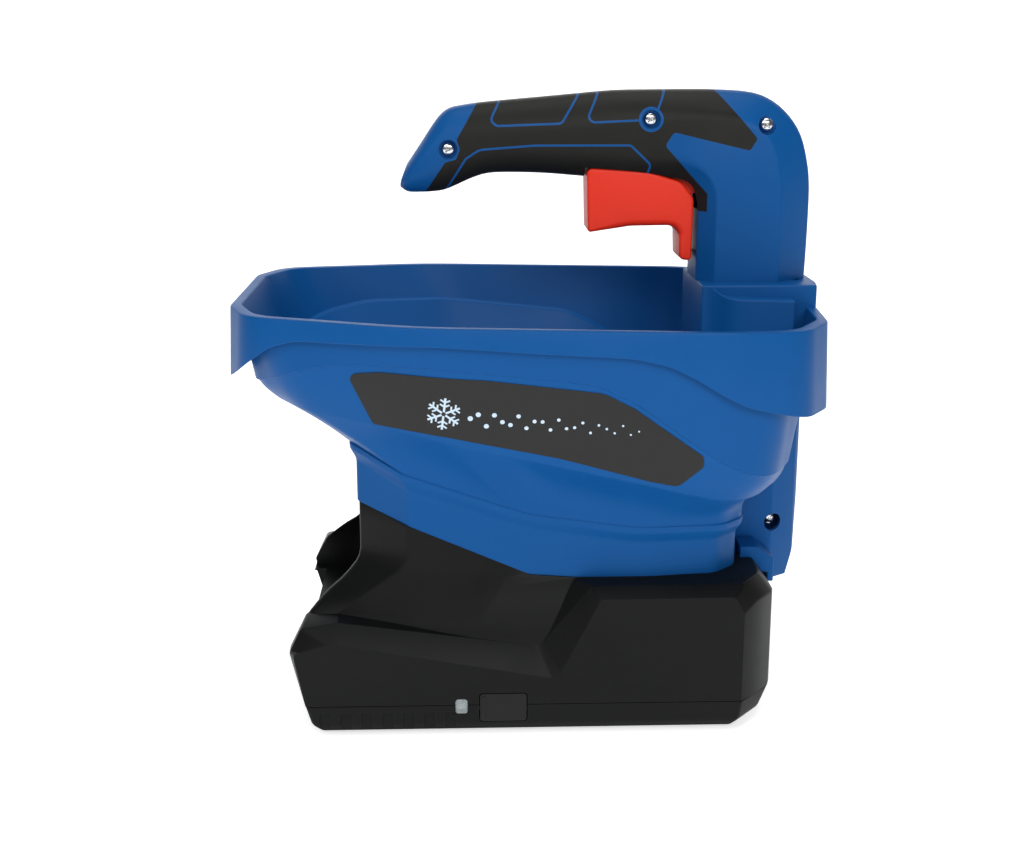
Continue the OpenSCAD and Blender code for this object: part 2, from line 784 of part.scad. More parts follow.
module base_cover() {
    floor_z = foot_h + base_wall;
    color(black) difference() {
        union() {
            difference() {
                intersection() {
                    side_corners(cover_side);
                    linear_extrude(60) polygon(base_outline(0));
                }
                intersection() {
                    side_corners(concat(shrink(cover_side, base_wall), [[117, 40, 0], [-106.5, 40, 0]]));
                    translate([0, 0, floor_z]) linear_extrude(30) polygon(base_outline(base_wall));
                }
            }
            for (p = base_screw_at) translate([p.x, p.y, floor_z - 0.1]) cylinder(r = 5.5, h = 9 - floor_z + 0.1);
            for (p = plate_post_at) translate([p.x, p.y, floor_z - 0.1]) cylinder(r = 2.6, h = plate_z - floor_z + 0.1);
            translate([spinner_x, 0, floor_z - 0.1]) cylinder(r = bush_r + 2.5, h = 8);
            // Stand-offs for the control board
            for (x = [-44, 2]) for (y = [-70, -53]) translate([x, y, floor_z - 0.1]) cylinder(r = 2, h = board_z - floor_z + 0.1);
        }
        windows();
        for (p = base_screw_at) translate([p.x, p.y, 0]) {
            cylinder(r = screw_head_r + 0.2, h = 6.4);
            cylinder(r = screw_r + 0.2, h = 20);
        }
        for (p = foot_at) translate([p.x, p.y, 0]) cylinder(r = 2, h = 20);
        translate([spinner_x, 0, foot_h + 2]) cylinder(r = bush_r, h = 20);
        // Finger grooves along the lower left and right edges at the front
        for (s = [-1, 1]) for (i = [0 : ribs - 1])
            translate([-100 + i * rib_pitch, s < 0 ? -base_half - 1 : base_half - 0.8, -1])
                cube([rib_pitch * 0.6, 1.8, 13]);
    }
}

module rubber_foot(i) {
    color(soft_black) translate([foot_at[i].x, foot_at[i].y, 0]) {
        cylinder(r = 6, h = foot_h);
        cylinder(r = 2, h = foot_h + 2);
    }
}

module base_screws() {
    color("silver") for (p = base_screw_at) translate([p.x, p.y, 4.2]) rotate([90, 0, 0]) screw_y(16);
}

module hopper_screws() {
    color("silver") for (p = hopper_screw_at)
        translate([p.x, p.y, roof_z - base_wall - 2.05]) rotate([90, 0, 0]) screw_y(9);
}

// ---------------------------------------------------------------- spinner and drive

bush_r = 6;
shaft_seal_r = 8;
disc_z = 46;
gear_z = 27;
gear_h = 5;
shaft_low = 8;
agitator_z = 101;
run = 0.06;

module spinner_disc() {
    color("dimgray") translate([spinner_x, 0, disc_z]) difference() {
        union() {
            cylinder(r = disc_r, h = 2.4);
            tube(disc_r, disc_r - 1.4, 3.4);
            cylinder(r = 9, h = 11);
            for (i = [0 : vanes - 1])
                rotate([0, 0, i * 360 / vanes]) translate([7, -0.9, 0]) cube([disc_r - 9, 1.8, 11]);
        }
        translate([0, 0, -1]) cylinder(r = shaft_r, h = 20);
    }
}

module spinner_shaft() {
    color("silver") translate([spinner_x, 0, shaft_low]) cylinder(r = shaft_r, h = agitator_z + 6 - shaft_low);
}

module agitator() {
    color("dimgray") translate([spinner_x, 0, agitator_z]) difference() {
        union() {
            cylinder(r = 6, h = 8);
            for (a = [0, 180]) rotate([0, 0, a]) {
                translate([4, -1.5, 1]) cube([15, 3, 4]);
                translate([16, -1.5, 1]) cube([3, 3, 12]);
            }
        }
        translate([0, 0, -1]) cylinder(r = shaft_r, h = 7);
    }
}

// Teeth as trapezoids between the root and the tip circles
module gear_shape(teeth, shift) {
    pitch_r = teeth * gear_module / 2;
    root_r = pitch_r - gear_module * 1.15;
    tip_r = pitch_r + gear_module * 0.9;
    step = 360 / teeth;
    union() {
        circle(r = root_r);
        for (i = [0 : teeth - 1])
            rotate([0, 0, (i + shift) * step])
                polygon([
                    [root_r - 0.3, -root_r * sin(step * 0.27)], [pitch_r, -pitch_r * sin(step * 0.21)],
                    [tip_r, -tip_r * sin(step * 0.1)], [tip_r, tip_r * sin(step * 0.1)],
                    [pitch_r, pitch_r * sin(step * 0.21)], [root_r - 0.3, root_r * sin(step * 0.27)]
                ]);
    }
}

module drive_gear() {
    color("white") translate([spinner_x, 0, gear_z]) difference() {
        union() {
            linear_extrude(gear_h) gear_shape(gear_teeth, 0.5);
            cylinder(r = 6, h = gear_h + 1);
        }
        translate([0, 0, -1]) cylinder(r = shaft_r, h = 20);
        // Lightening holes in the web
        for (a = [30 : 60 : 330]) rotate([0, 0, a]) translate([12, 0, -1]) cylinder(r = 3, h = 20);
    }
}

motor_r = 12;
motor_shaft_r = 1;

module motor() {
    color("silver") translate([motor_x, 0, 0]) difference() {
        union() {
            translate([0, 0, foot_h + base_wall + 0.4]) cylinder(r = motor_r, h = plate_z - foot_h - base_wall - 0.4);
            translate([0, 0, plate_z - 0.1]) cylinder(r = 3, h = 2);
        }
        translate([0, 0, plate_z - 4]) cylinder(r = motor_shaft_r + run, h = 10);
    }
}

module motor_shaft() {
    color("silver") translate([motor_x, 0, plate_z - 3]) cylinder(r = motor_shaft_r, h = gear_z + gear_h + 0.6 - plate_z + 3);
}

module motor_pinion() {
    color("gold") translate([motor_x, 0, gear_z - 0.4]) difference() {
        linear_extrude(gear_h + 0.6) gear_shape(pinion_teeth, 0);
        translate([0, 0, -1]) cylinder(r = motor_shaft_r, h = 20);
    }
}

motor_screw_y = 8;

module gearbox_plate() {
    color("gray") translate([0, 0, plate_z]) difference() {
        translate([-50, -17, 0]) cube([motor_x + 67, 34, 2]);
        translate([spinner_x, 0, -1]) cylinder(r = shaft_r + 1, h = 4);
        translate([motor_x, 0, -1]) cylinder(r = 3, h = 4);
        for (s = [-1, 1]) translate([motor_x, s * motor_screw_y, -1]) cylinder(r = 0.9, h = 4);
    }
}

module motor_screws() {
    color("silver") for (s = [-1, 1]) translate([motor_x, s * motor_screw_y, plate_z + 2]) {
        mirror([0, 0, 1]) cylinder(r = 0.9, h = 2);
        cylinder(r = 1.6, h = 0.8);
    }
}

module deck_bush() {
    color("gold") translate([spinner_x, 0, deck_z - base_wall]) {
        tube(bush_r, shaft_r + run, base_wall);
        translate([0, 0, base_wall]) tube(bush_r + 1.5, shaft_r + run, 1.5);
    }
}

module shaft_foot_bush() {
    color("gold") translate([spinner_x, 0, foot_h + 2]) difference() {
        cylinder(r = bush_r, h = 8);
        translate([0, 0, shaft_low - foot_h - 2.2]) cylinder(r = shaft_r + run, h = 20);
    }
}

module shaft_seal() {
    color(soft_black) translate([spinner_x, 0, 79]) tube(shaft_seal_r - 0.05, shaft_r + run, 17);
}

// ---------------------------------------------------------------- battery, board and wires

cell_r = 9.1;
cell_l = 65;
cell_x = [58, 80];
holder_z = foot_h + base_wall + 0.1;
cell_z = holder_z + 2 + cell_r;
board_z = 11;
board_t = 1.6;

module battery_cell(i) {
    color("seagreen") {
        along_y(cell_x[i], cell_z, cell_r, -cell_l / 2, cell_l / 2 - 1);
        along_y(cell_x[i], cell_z, 3, cell_l / 2 - 1.1, cell_l / 2);
    }
}

module battery_holder() {
    end_y = cell_l / 2 + 0.2;
    color("dimgray") difference() {
        translate([46, -end_y - 2, holder_z]) cube([46, 2 * end_y + 4, 14]);
        for (x = cell_x) {
            along_y(x, cell_z, cell_r + 0.2, -end_y, end_y);
            translate([x - cell_r - 0.2, -end_y, cell_z]) cube([2 * cell_r + 0.4, 2 * end_y, 20]);
        }
    }
}

module control_board() {
    color("darkgreen") translate([-48, -73.4, board_z]) cube([54, 23.4, board_t]);
    color("black") {
        translate([-30, -62, board_z + board_t]) cube([6, 5, 1.2]);
        translate([-14, -60, board_z + board_t]) cube([4, 5, 3]);
        translate([-4, -60, board_z + board_t]) cylinder(r = 3, h = 6);
    }
}

socket_x = -13.1;

module charge_socket() {
    color("silver") difference() {
        translate([socket_x - 4.5, -76.2, board_z + board_t]) cube([9, 7.3, 3.4]);
        translate([socket_x - 4, -77, board_z + board_t + 0.5]) cube([8, 6, 2.4]);
    }
}

module status_led() {
    led_x = (lens_box[0].x + lens_box[1].x) / 2;
    color("lightyellow") {
        translate([led_x - 1.5, -74, board_z + board_t]) cube([3, 2, 3]);
        along_y(led_x, board_z + board_t + 1.6, 1.2, -75.4, -73.9);
    }
}

module led_lens() {
    color("whitesmoke") translate([lens_box[0].x + 0.1, -base_half, lens_box[0].y + 0.1])
        cube([lens_box[1].x - lens_box[0].x - 0.2, 2.6, lens_box[1].y - lens_box[0].y - 0.2]);
}

module charge_flap() {
    width = flap_box[1].x - flap_box[0].x;
    height = flap_box[1].y - flap_box[0].y;
    color(soft_black) {
        translate([flap_box[0].x, -base_half - 0.2, flap_box[0].y]) cube([width, 1.8, height]);
        // Plug that closes the socket
        translate([socket_x - 3.2, -base_half + 1.5, board_z + board_t + 0.8]) cube([6.4, 2.6, 1.8]);
    }
}

wire_r = 0.9;

module wire(points, steps) {
    sweep(smooth(points, steps), wire_r, 8);
}

module motor_wires() {
    color("crimson") wire([[3, -54, 14], [8, -45, 14], [10, -30, 9.5], [9, -16, 9], [5, -12.6, 10]], 3);
    color("black") wire([[-1, -54, 14], [-5, -44, 14], [-8, -30, 9.5], [-8, -16, 9], [-5, -12.6, 10]], 3);
}

module battery_wires() {
    color("crimson") wire([[4, -66, 14], [14, -64, 13], [28, -46, 9], [38, -30, 8], [45, -22, 10]], 3);
    color("black") wire([[4, -60, 14], [12, -54, 13], [26, -36, 9], [38, -16, 8], [45, -12, 10]], 3);
}

module switch_wires() {
    color("orange") wire([
        [2, -57, 14], [16, -50, 20], [36, -45, 25], [52, -40, 38], [90, -20, 50], [108, 2, 55], [115.4, 8, 62],
        [119.6, 8.6, 74], [120.5, 8, 88], [120.2, 8, 100], [117.2, 9, 114], [117.2, 9, 200], [117.6, 6, 232],
        [117.4, 2.4, 241.2]
    ], 3);
    color("orange") wire([
        [-8, -55, 14], [6, -50, 20], [34, -39, 26], [50, -33, 40], [88, -12, 53], [106, 8, 56], [115.4, 12.4, 63],
        [119.6, 12.8, 75], [120.5, 12.6, 88], [120.4, 12.4, 99], [115, 12.2, 113], [112, 11.6, 200], [111, 7, 232],
        [110.9, 2.4, 241.2]
    ], 3);
}

// ---------------------------------------------------------------- the nodes

hopper();
hopper_label_left();
hopper_label_right();
base_housing();
base_cover();
handle_shell_left();
handle_shell_right();
grip_overmould_left();
grip_overmould_right();
trigger();
trigger_pivot_pin();
trigger_spring();
micro_switch();
switch_plunger();
push_rod();
bell_crank();
bell_crank_pin();
shutter();
shutter_guide();
spinner_disc();
spinner_shaft();
agitator();
drive_gear();
motor();
motor_shaft();
motor_pinion();
gearbox_plate();
deck_bush();
shaft_foot_bush();
shaft_seal();
battery_cell(0);  // battery_cell_1
battery_cell(1);  // battery_cell_2
battery_holder();
control_board();
charge_socket();
status_led();
led_lens();
charge_flap();
motor_wires();
battery_wires();
switch_wires();
handle_screws();
spine_screw();
base_screws();
hopper_screws();
motor_screws();
rubber_foot(0);  // rubber_foot_1
rubber_foot(1);  // rubber_foot_2
rubber_foot(2);  // rubber_foot_3
rubber_foot(3);  // rubber_foot_4
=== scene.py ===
"""Looks of the handheld salt spreader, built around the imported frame.

Shapes are worked out in millimetres, in the frame's own axes, and become metres when a mesh is made.
"""

import math

import bmesh
import bpy
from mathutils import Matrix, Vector
from mathutils.bvhtree import BVHTree


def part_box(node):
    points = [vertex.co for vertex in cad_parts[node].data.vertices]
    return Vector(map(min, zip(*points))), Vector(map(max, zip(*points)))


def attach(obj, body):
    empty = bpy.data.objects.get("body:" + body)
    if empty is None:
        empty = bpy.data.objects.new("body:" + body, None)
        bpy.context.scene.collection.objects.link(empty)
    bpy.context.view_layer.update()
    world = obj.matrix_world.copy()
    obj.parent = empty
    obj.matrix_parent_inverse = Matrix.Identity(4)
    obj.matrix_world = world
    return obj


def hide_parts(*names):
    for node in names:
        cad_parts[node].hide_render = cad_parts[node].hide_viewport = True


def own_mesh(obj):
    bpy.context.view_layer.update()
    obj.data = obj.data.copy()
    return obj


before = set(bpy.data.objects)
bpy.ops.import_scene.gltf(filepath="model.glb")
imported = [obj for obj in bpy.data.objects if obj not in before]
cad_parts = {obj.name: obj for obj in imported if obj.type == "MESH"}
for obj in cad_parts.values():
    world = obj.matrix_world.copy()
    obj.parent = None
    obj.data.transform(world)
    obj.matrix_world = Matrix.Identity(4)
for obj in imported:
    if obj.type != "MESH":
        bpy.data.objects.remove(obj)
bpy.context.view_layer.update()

MM = 0.001


def box_mm(node):
    """The lowest and highest corner of a CAD node in millimetres."""
    low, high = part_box(node)
    return low / MM, high / MM


def middle_mm(node):
    low, high = box_mm(node)
    return (low + high) / 2


# ---------------------------------------------------------------- outlines

def mix(a, b, t):
    return a + (b - a) * t


def along(table, x):
    """The height that a table of (x, z) points gives at x."""
    if x <= table[0][0]:
        return table[0][1]
    for (xa, za), (xb, zb) in zip(table, table[1:]):
        if x <= xb:
            return mix(za, zb, (x - xa) / (xb - xa))
    return table[-1][1]


def soft_along(table, x, reach):
    """The same with the table's corners rounded over a reach to both sides."""
    samples = (-1.0, -0.5, 0.0, 0.5, 1.0)
    return sum(along(table, x + reach * s) for s in samples) / len(samples)


def eased_corner(a, b, c, reach, steps):
    """Points that round the corner b between a and c, over a reach along both of its sides."""
    start = b + (a - b).normalized() * min(reach, (a - b).length * 0.48)
    end = b + (c - b).normalized() * min(reach, (c - b).length * 0.48)
    return [start.lerp(b, s / steps).lerp(b.lerp(end, s / steps), s / steps) for s in range(steps + 1)]


def corner_arc(a, b, c, r, steps):
    """Points on the arc of radius r that rounds the corner b between a and c."""
    u = (a - b).normalized()
    v = (c - b).normalized()
    half = u.angle(v) / 2
    centre = b + (u + v).normalized() * r / math.sin(half)
    start = b + u * r / math.tan(half) - centre
    end = b + v * r / math.tan(half) - centre
    first = math.atan2(start.y, start.x)
    turn = math.atan2(start.x * end.y - start.y * end.x, start.dot(end))
    return [centre + r * Vector((math.cos(first + turn * i / steps), math.sin(first + turn * i / steps)))
            for i in range(steps + 1)]


def outline(corners, steps=6, fill=None):
    """A closed outline from corners (x, y, radius); fill says into how many pieces each straight is split."""
    n = len(corners)
    at = [Vector(c[:2]) for c in corners]
    points = []
    for i in range(n):
        radius = corners[i][2]
        if radius:
            points += corner_arc(at[i - 1], at[i], at[(i + 1) % n], radius, steps)
        else:
            points.append(at[i].copy())
        if fill and fill[i] > 1:
            nxt = corners[(i + 1) % n][2]
            goal = corner_arc(at[i], at[(i + 1) % n], at[(i + 2) % n], nxt, steps)[0]
            points += [points[-1].lerp(goal, k / fill[i]) for k in range(1, fill[i])]
    return points


def rounded_box(x0, x1, z0, z1, r, steps=5):
    return outline([(x0, z0, r), (x1, z0, r), (x1, z1, r), (x0, z1, r)], steps)


def both_sides(half):
    """A half outline on the +Y side, closed by its mirror image, counter-clockwise from above."""
    return [(x, -y, r) for x, y, r in half] + [(x, y, r) for x, y, r in reversed(half)]


def inset(half, t):
    """A half outline moved inwards by t."""
    return [(x + (t if x < 0 else -t), y - t, max(r - t, 1)) for x, y, r in half]


def ribbon(path, width):
    """The outline of a band of that width along a path."""
    path = [Vector(p) for p in path]
    left, right = [], []
    for i, p in enumerate(path):
        before = (p - path[i - 1]).normalized() if i else None
        after = (path[i + 1] - p).normalized() if i < len(path) - 1 else None
        along_path = ((before or after) + (after or before)).normalized()
        normal = Vector((-along_path.y, along_path.x))
        miter = 1 / max(normal.dot(Vector((-(after or before).y, (after or before).x))), 0.4)
        left.append(p + normal * width / 2 * miter)
        right.append(p - normal * width / 2 * miter)
    return right + left[::-1]


def circle(x, y, r, n=48):
    return [Vector((x + r * math.cos(2 * math.pi * i / n), y + r * math.sin(2 * math.pi * i / n)))
            for i in range(n)]


# ---------------------------------------------------------------- meshes

def scene_object(name, data):
    obj = bpy.data.objects.new(name, data)
    bpy.context.scene.collection.objects.link(obj)
    return obj


def new_object(name, points, faces):
    mesh = bpy.data.meshes.new(name)
    mesh.from_pydata([Vector(p) * MM for p in points], [], faces)
    return scene_object(name, mesh)


def outward_faces(obj):
    """Turns every face of a closed mesh outwards."""
    work = bmesh.new()
    work.from_mesh(obj.data)
    bmesh.ops.remove_doubles(work, verts=work.verts, dist=1e-6)
    bmesh.ops.recalc_face_normals(work, faces=work.faces)
    work.to_mesh(obj.data)
    work.free()
    return obj


def loft(name, rings, cap="flat"):
    """A solid through closed rings of equally many points.

    cap is flat, or strip for rings mirrored about Y = 0.
    """
    n = len(rings[0])
    points = [p for ring in rings for p in ring]
    faces = []
    for k in range(len(rings) - 1):
        for i in range(n):
            j = (i + 1) % n
            faces.append((k * n + i, k * n + j, k * n + n + j, k * n + n + i))
    for start in (0, (len(rings) - 1) * n):
        if cap == "flat":
            faces.append([start + i for i in range(n)])
        else:
            for i in range(n // 2 - 1):
                faces.append((start + i, start + i + 1, start + n - 2 - i, start + n - 1 - i))
    return outward_faces(new_object(name, points, faces))


def prism_y(name, shape, low, high):
    """A side view (x, z) drawn as a solid between y = low and y = high."""
    return loft(name, [[Vector((p[0], y, p[1])) for p in shape] for y in (low, high)])


def level_ring(corners, z, steps=5):
    """The outline of a plan, given by its half on the +Y side, at height z."""
    return [Vector((p.x, p.y, z)) for p in outline(both_sides(corners), steps)]


def prism_z(name, shape, low, high):
    return loft(name, [[Vector((p[0], p[1], z)) for p in shape] for z in (low, high)])


def rod_y(name, x, z, r, low, high, n=40):
    return prism_y(name, circle(x, z, r, n), low, high)


def rod_z(name, x, y, r, low, high, n=40):
    return prism_z(name, circle(x, y, r, n), low, high)


def slab(name, x0, x1, y0, y1, z0, z1):
    return prism_z(name, [(x0, y0), (x1, y0), (x1, y1), (x0, y1)], z0, z1)


def side_slab(name, x0, x1, y0, y1, z0, z1):
    return prism_y(name, [(x0, z0), (x1, z0), (x1, z1), (x0, z1)], y0, y1)


def apply_modifiers(obj):
    graph = bpy.context.evaluated_depsgraph_get()
    mesh = bpy.data.meshes.new_from_object(obj.evaluated_get(graph))
    obj.modifiers.clear()
    obj.data = mesh
    return obj


def combine(obj, tool, how, keep=False):
    """A boolean of obj with tool: DIFFERENCE, UNION or INTERSECT."""
    step = obj.modifiers.new("combine", "BOOLEAN")
    step.operation = how
    step.object = tool
    step.solver = "EXACT"
    apply_modifiers(obj)
    if not keep:
        bpy.data.objects.remove(tool)
    return obj


def cut(obj, tool):
    return combine(obj, tool, "DIFFERENCE")


def add(obj, tool):
    return combine(obj, tool, "UNION")


def copy_of(obj, name):
    return scene_object(name, obj.data.copy())


def soften(obj, width, segments=3, angle=28):
    """Rounds every edge that is sharper than the angle."""
    step = obj.modifiers.new("soften", "BEVEL")
    step.width = width * MM
    step.segments = segments
    step.limit_method = "ANGLE"
    step.angle_limit = math.radians(angle)
    step.miter_outer = "MITER_ARC"
    return apply_modifiers(obj)


def join(objects, name):
    """One object from several, each a closed shell of its own."""
    work = bmesh.new()
    for o in objects:
        work.from_mesh(o.data)
    mesh = bpy.data.meshes.new(name)
    work.to_mesh(mesh)
    work.free()
    for o in objects:
        bpy.data.objects.remove(o)
    return scene_object(name, mesh)


def place(obj, body, nodes, material, angle=32):
    """Gives a finished piece its material and body, and hides the CAD nodes that it stands for."""
    obj.data.materials.clear()
    obj.data.materials.append(material)
    obj.data.shade_smooth()
    obj.data.set_sharp_from_angle(angle=math.radians(angle))
    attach(obj, body)
    if nodes:
        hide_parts(*nodes)
    return obj


# ---------------------------------------------------------------- materials

class Look:
    """A material while its nodes are being put together."""

    def __init__(self, name):
        self.material = bpy.data.materials.new(name)
        self.material.use_nodes = True
        self.tree = self.material.node_tree
        self.shader = self.tree.nodes["Principled BSDF"]
        self.coords = self.tree.nodes.new("ShaderNodeTexCoord").outputs["Object"]

    def feed(self, node, inputs):
        """Gives each named input a fixed value or the output of another node."""
        for key, value in inputs.items():
            socket = node.inputs[key]
            if isinstance(value, bpy.types.NodeSocket):
                self.tree.links.new(value, socket)
            elif socket.type == "RGBA":
                socket.default_value = (*value, 1.0)
            else:
                socket.default_value = value

    def node(self, kind, inputs, output=0, **settings):
        made = self.tree.nodes.new("ShaderNode" + kind)
        for key, value in settings.items():
            setattr(made, key, value)
        self.feed(made, inputs)
        return made.outputs[output]

    def finish(self, **inputs):
        self.feed(self.shader, {key.replace("_", " "): value for key, value in inputs.items()})
        return self.material

    def noise(self, scale, detail=3.0, rough=0.55, coords=None):
        return self.node("TexNoise", {"Vector": coords or self.coords, "Scale": scale, "Detail": detail,
                                      "Roughness": rough}, "Fac")

    def span(self, value, low, high, from_low=0.0, from_high=1.0):
        """A value carried from one range to another."""
        return self.node("MapRange", {"Value": value, "From Min": from_low, "From Max": from_high,
                                      "To Min": low, "To Max": high}, "Result")

    def mixed(self, factor, a, b):
        """A colour between a and b; each is a colour or a socket."""
        return self.node("Mix", {0: factor, 6: a, 7: b}, 2, data_type="RGBA")

    def bump(self, height, strength, depth):
        return self.node("Bump", {"Height": height, "Strength": strength, "Distance": depth}, "Normal")

    def edge_mask(self, radius):
        """1 along worn convex edges and 0 on the flats, from a rounded normal compared with the true one."""
        rounded = self.node("Bevel", {"Radius": radius}, "Normal", samples=4)
        true_normal = self.node("NewGeometry", {}, "Normal")
        dot = self.node("VectorMath", {0: rounded, 1: true_normal}, "Value", operation="DOT_PRODUCT")
        return self.span(dot, 1.0, 0.0, 0.75, 0.99)


def moulded(name, colour, roughness, grain=0.0004, depth=0.00002, wear=0.25, coat=0.0, cloud=0.12,
            specular=0.5):
    """Moulded plastic or rubber: a fine grain, cloudy gloss, and paler edges where hands rub it."""
    look = Look(name)
    clouds = look.noise(28.0, 4.0)
    fine = look.noise(1.0 / grain, 2.0, 0.6)
    scuffs = look.noise(420.0, 6.0, 0.7)
    dark = [c * (1 - cloud) for c in colour]
    light = [min(c * (1 + cloud) + 0.004, 1.0) for c in colour]
    worn = [min(mix(c, 0.55, 0.3) + 0.02, 1.0) for c in colour]
    rub = look.node("Math", {0: look.edge_mask(0.0006), 1: look.span(scuffs, 0.3, 1.0, 0.35, 0.6)},
                    operation="MULTIPLY")
    base = look.mixed(clouds, dark, light)
    base = look.mixed(look.span(fine, 0.0, 0.35), base, light)
    base = look.mixed(look.span(rub, 0.0, wear), base, worn)
    cloudy = look.span(clouds, roughness - 0.05, roughness + 0.05, 0.3, 0.7)
    gloss = look.node("Math", {0: cloudy, 1: look.span(fine, -0.04, 0.04)}, operation="ADD")
    return look.finish(Base_Color=base, Roughness=gloss, Normal=look.bump(fine, 0.6, depth),
                       Specular_IOR_Level=specular, Coat_Weight=coat, Coat_Roughness=0.3)


def metal(name, colour, roughness, grain=0.0006, stretch=(1, 1, 8)):
    """Plated or turned metal with fine drawn lines and a dull haze."""
    look = Look(name)
    drawn = look.node("VectorMath", {0: look.coords, 1: stretch}, "Vector", operation="MULTIPLY")
    lines = look.noise(1.0 / grain, 4.0, coords=drawn)
    haze = look.noise(160.0)
    dark = [c * 0.82 for c in colour]
    return look.finish(Base_Color=look.mixed(haze, dark, colour), Metallic=1.0,
                       Roughness=look.span(haze, roughness - 0.07, roughness + 0.08, 0.3, 0.7),
                       Normal=look.bump(lines, 0.35, 0.00002))


def clear_plastic(name):
    look = Look(name)
    haze = look.noise(900.0)
    return look.finish(Base_Color=look.mixed(haze, (0.62, 0.72, 0.76), (0.86, 0.92, 0.94)), IOR=1.49,
                       Roughness=look.span(haze, 0.12, 0.3), Transmission_Weight=0.75)


BLUE = moulded("blue_moulded", (0.0022, 0.08, 0.28), 0.4, wear=0.12, cloud=0.05, specular=0.1)
BLACK = moulded("black_moulded", (0.0045, 0.0052, 0.0045), 0.42, wear=0.1, cloud=0.12, specular=0.11)
SOFT = moulded("soft_touch", (0.0085, 0.0083, 0.0068), 0.5, grain=0.00028, depth=0.00003, wear=0.05,
               specular=0.18)
LABEL = moulded("label_satin", (0.014, 0.014, 0.0136), 0.5, grain=0.00022, depth=0.000006, wear=0.03,
                specular=0.25)
RED = moulded("red_moulded", (0.85, 0.03, 0.008), 0.42, wear=0.1, cloud=0.06, specular=0.25)
RUBBER = moulded("rubber", (0.006, 0.006, 0.006), 0.55, depth=0.00003, wear=0.05, specular=0.25)
DARK = moulded("dark_moulded", (0.03, 0.03, 0.034), 0.45)
SWITCH_RED = moulded("switch_red_moulded", (0.5, 0.012, 0.01), 0.35)
NYLON = moulded("nylon_moulded", (0.62, 0.6, 0.54), 0.42, cloud=0.06)
WRAP = moulded("cell_sleeve", (0.01, 0.14, 0.06), 0.3, coat=0.3)
BOARD = moulded("solder_mask", (0.006, 0.09, 0.03), 0.32, coat=0.2)
WIRE = moulded("wire_insulation", (0.42, 0.012, 0.01), 0.38)
EMBLEM = moulded("emblem_print", (0.55, 0.68, 0.8), 0.5, depth=0.000004, wear=0.0, cloud=0.04)
LED = moulded("led_resin", (0.86, 0.72, 0.5), 0.25, wear=0.0)
STEEL = metal("drawn_steel", (0.58, 0.58, 0.6), 0.3)
ZINC = metal("zinc_plate", (0.78, 0.8, 0.82), 0.2, grain=0.0009, stretch=(1, 1, 1))
BRASS = metal("turned_brass", (0.72, 0.52, 0.24), 0.28)
CAN = metal("motor_can", (0.52, 0.53, 0.55), 0.34)
CLEAR = clear_plastic("clear_moulded")


# ---------------------------------------------------------------- hopper

HOPPER_HIGH = box_mm("hopper")[1]
REAR_X = HOPPER_HIGH.x
PEDESTAL_TOP = HOPPER_HIGH.z
RIM_Z = PEDESTAL_TOP - 8.5
SEAT_Z = 75.0
SPINNER_X = middle_mm("spinner_shaft").x
RIM_SLOPE = 0.019
WALL = 3.0
SKIRT_WALL = 2.6
SKIRT_FLARE = 1.3

RIM_PLAN = [(-140.2, 48, 26), (-129.5, 77, 24), (-55, 101, 120), (88, 103.5, 60), (122, 96.5, 22),
            (137.6, 70, 22), (141, 32, 60)]
RIDGE_PLAN = [(-128, 56, 20), (-112, 78, 24), (-40, 96, 90), (78, 97, 50), (110, 88, 24), (124, 58, 24),
              (126, 30, 50)]
CREASE_PLAN = [(-120, 50, 16), (-105, 69, 18), (-40, 84, 70), (70, 85, 45), (104, 79.5, 22), (120, 54, 20),
               (122, 26, 45)]
LIP_PLAN = [(-86, 46, 6), (-60, 64, 6), (-10, 65, 40), (60, 65.5, 40), (93, 62, 14), (105.4, 50, 12),
            (106.4, 20, 30)]
COLLAR_PLAN = inset(LIP_PLAN, 2.5)

RIDGE_LINE = [(-128, 172), (-108, 181), (-85, 186), (-44, 185.5), (27, 178), (45, 170), (87, 140), (104, 132),
              (126, 131)]
CREASE_LINE = [(-118, 163), (-69, 155), (56, 127), (90, 118), (119, 120)]
LIP_LINE = [(-86, 140), (-60, 128), (0, 108), (50, 101), (105, 101)]
SKIRT_EDGE = [(-150, 168), (-141, 173), (-130, 184), (-118, 193), (-106, 196.5), (-44, 196.5), (3, 193.3),
              (44, 191), (60, 187.5), (73, 181), (85, 173.5), (95, 168.5), (106, 165.5), (125, 161.5),
              (150, 159.5)]
SEAT_LINE = [(-150, 129.6), (-82, 108.6), (-58, 101.2), (0, SEAT_Z + 1.6), (22, SEAT_Z), (150, SEAT_Z)]

ARC_STEPS = 6
STRAIGHT_STEP = 6.0


def straight_pieces(half):
    """Into how many pieces the straights of a full plan are split; the two that cross Y = 0 stay whole."""
    lengths = [(Vector(b[:2]) - Vector(a[:2])).length for a, b in zip(half, half[1:])]
    side = [max(1, round(length / STRAIGHT_STEP)) for length in lengths]
    return side + [1] + side[::-1] + [1]


PIECES = straight_pieces(RIM_PLAN)


def ring(half, height, grow=0.0):
    """A closed ring over a plan that is grown outwards; height gives z for each x."""
    flat = outline(both_sides(inset(half, -grow)), ARC_STEPS, PIECES)
    return [Vector((p.x, p.y, height(p.x))) for p in flat]


def outward(points, i):
    """The level direction that points out of a counter-clockwise ring."""
    step = points[(i + 1) % len(points)] - points[i - 1]
    return Vector((step.y, -step.x, 0)).normalized()


def between(low, high, t, bulge):
    middle = [a.lerp(b, t) for a, b in zip(low, high)]
    arc = math.sin(math.pi * t)
    return [p + outward(middle, i) * bulge(p.x, t) * arc for i, p in enumerate(middle)]


def bulged(low, high, bulge, count):
    """Rings between two others on an arc that stands out by bulge(x, t), or in where it is negative."""
    return [(between(low, high, k / (count + 1), bulge), 0) for k in range(1, count + 1)]


def smooth(t):
    t = min(max(t, 0.0), 1.0)
    return t * t * (3 - 2 * t)


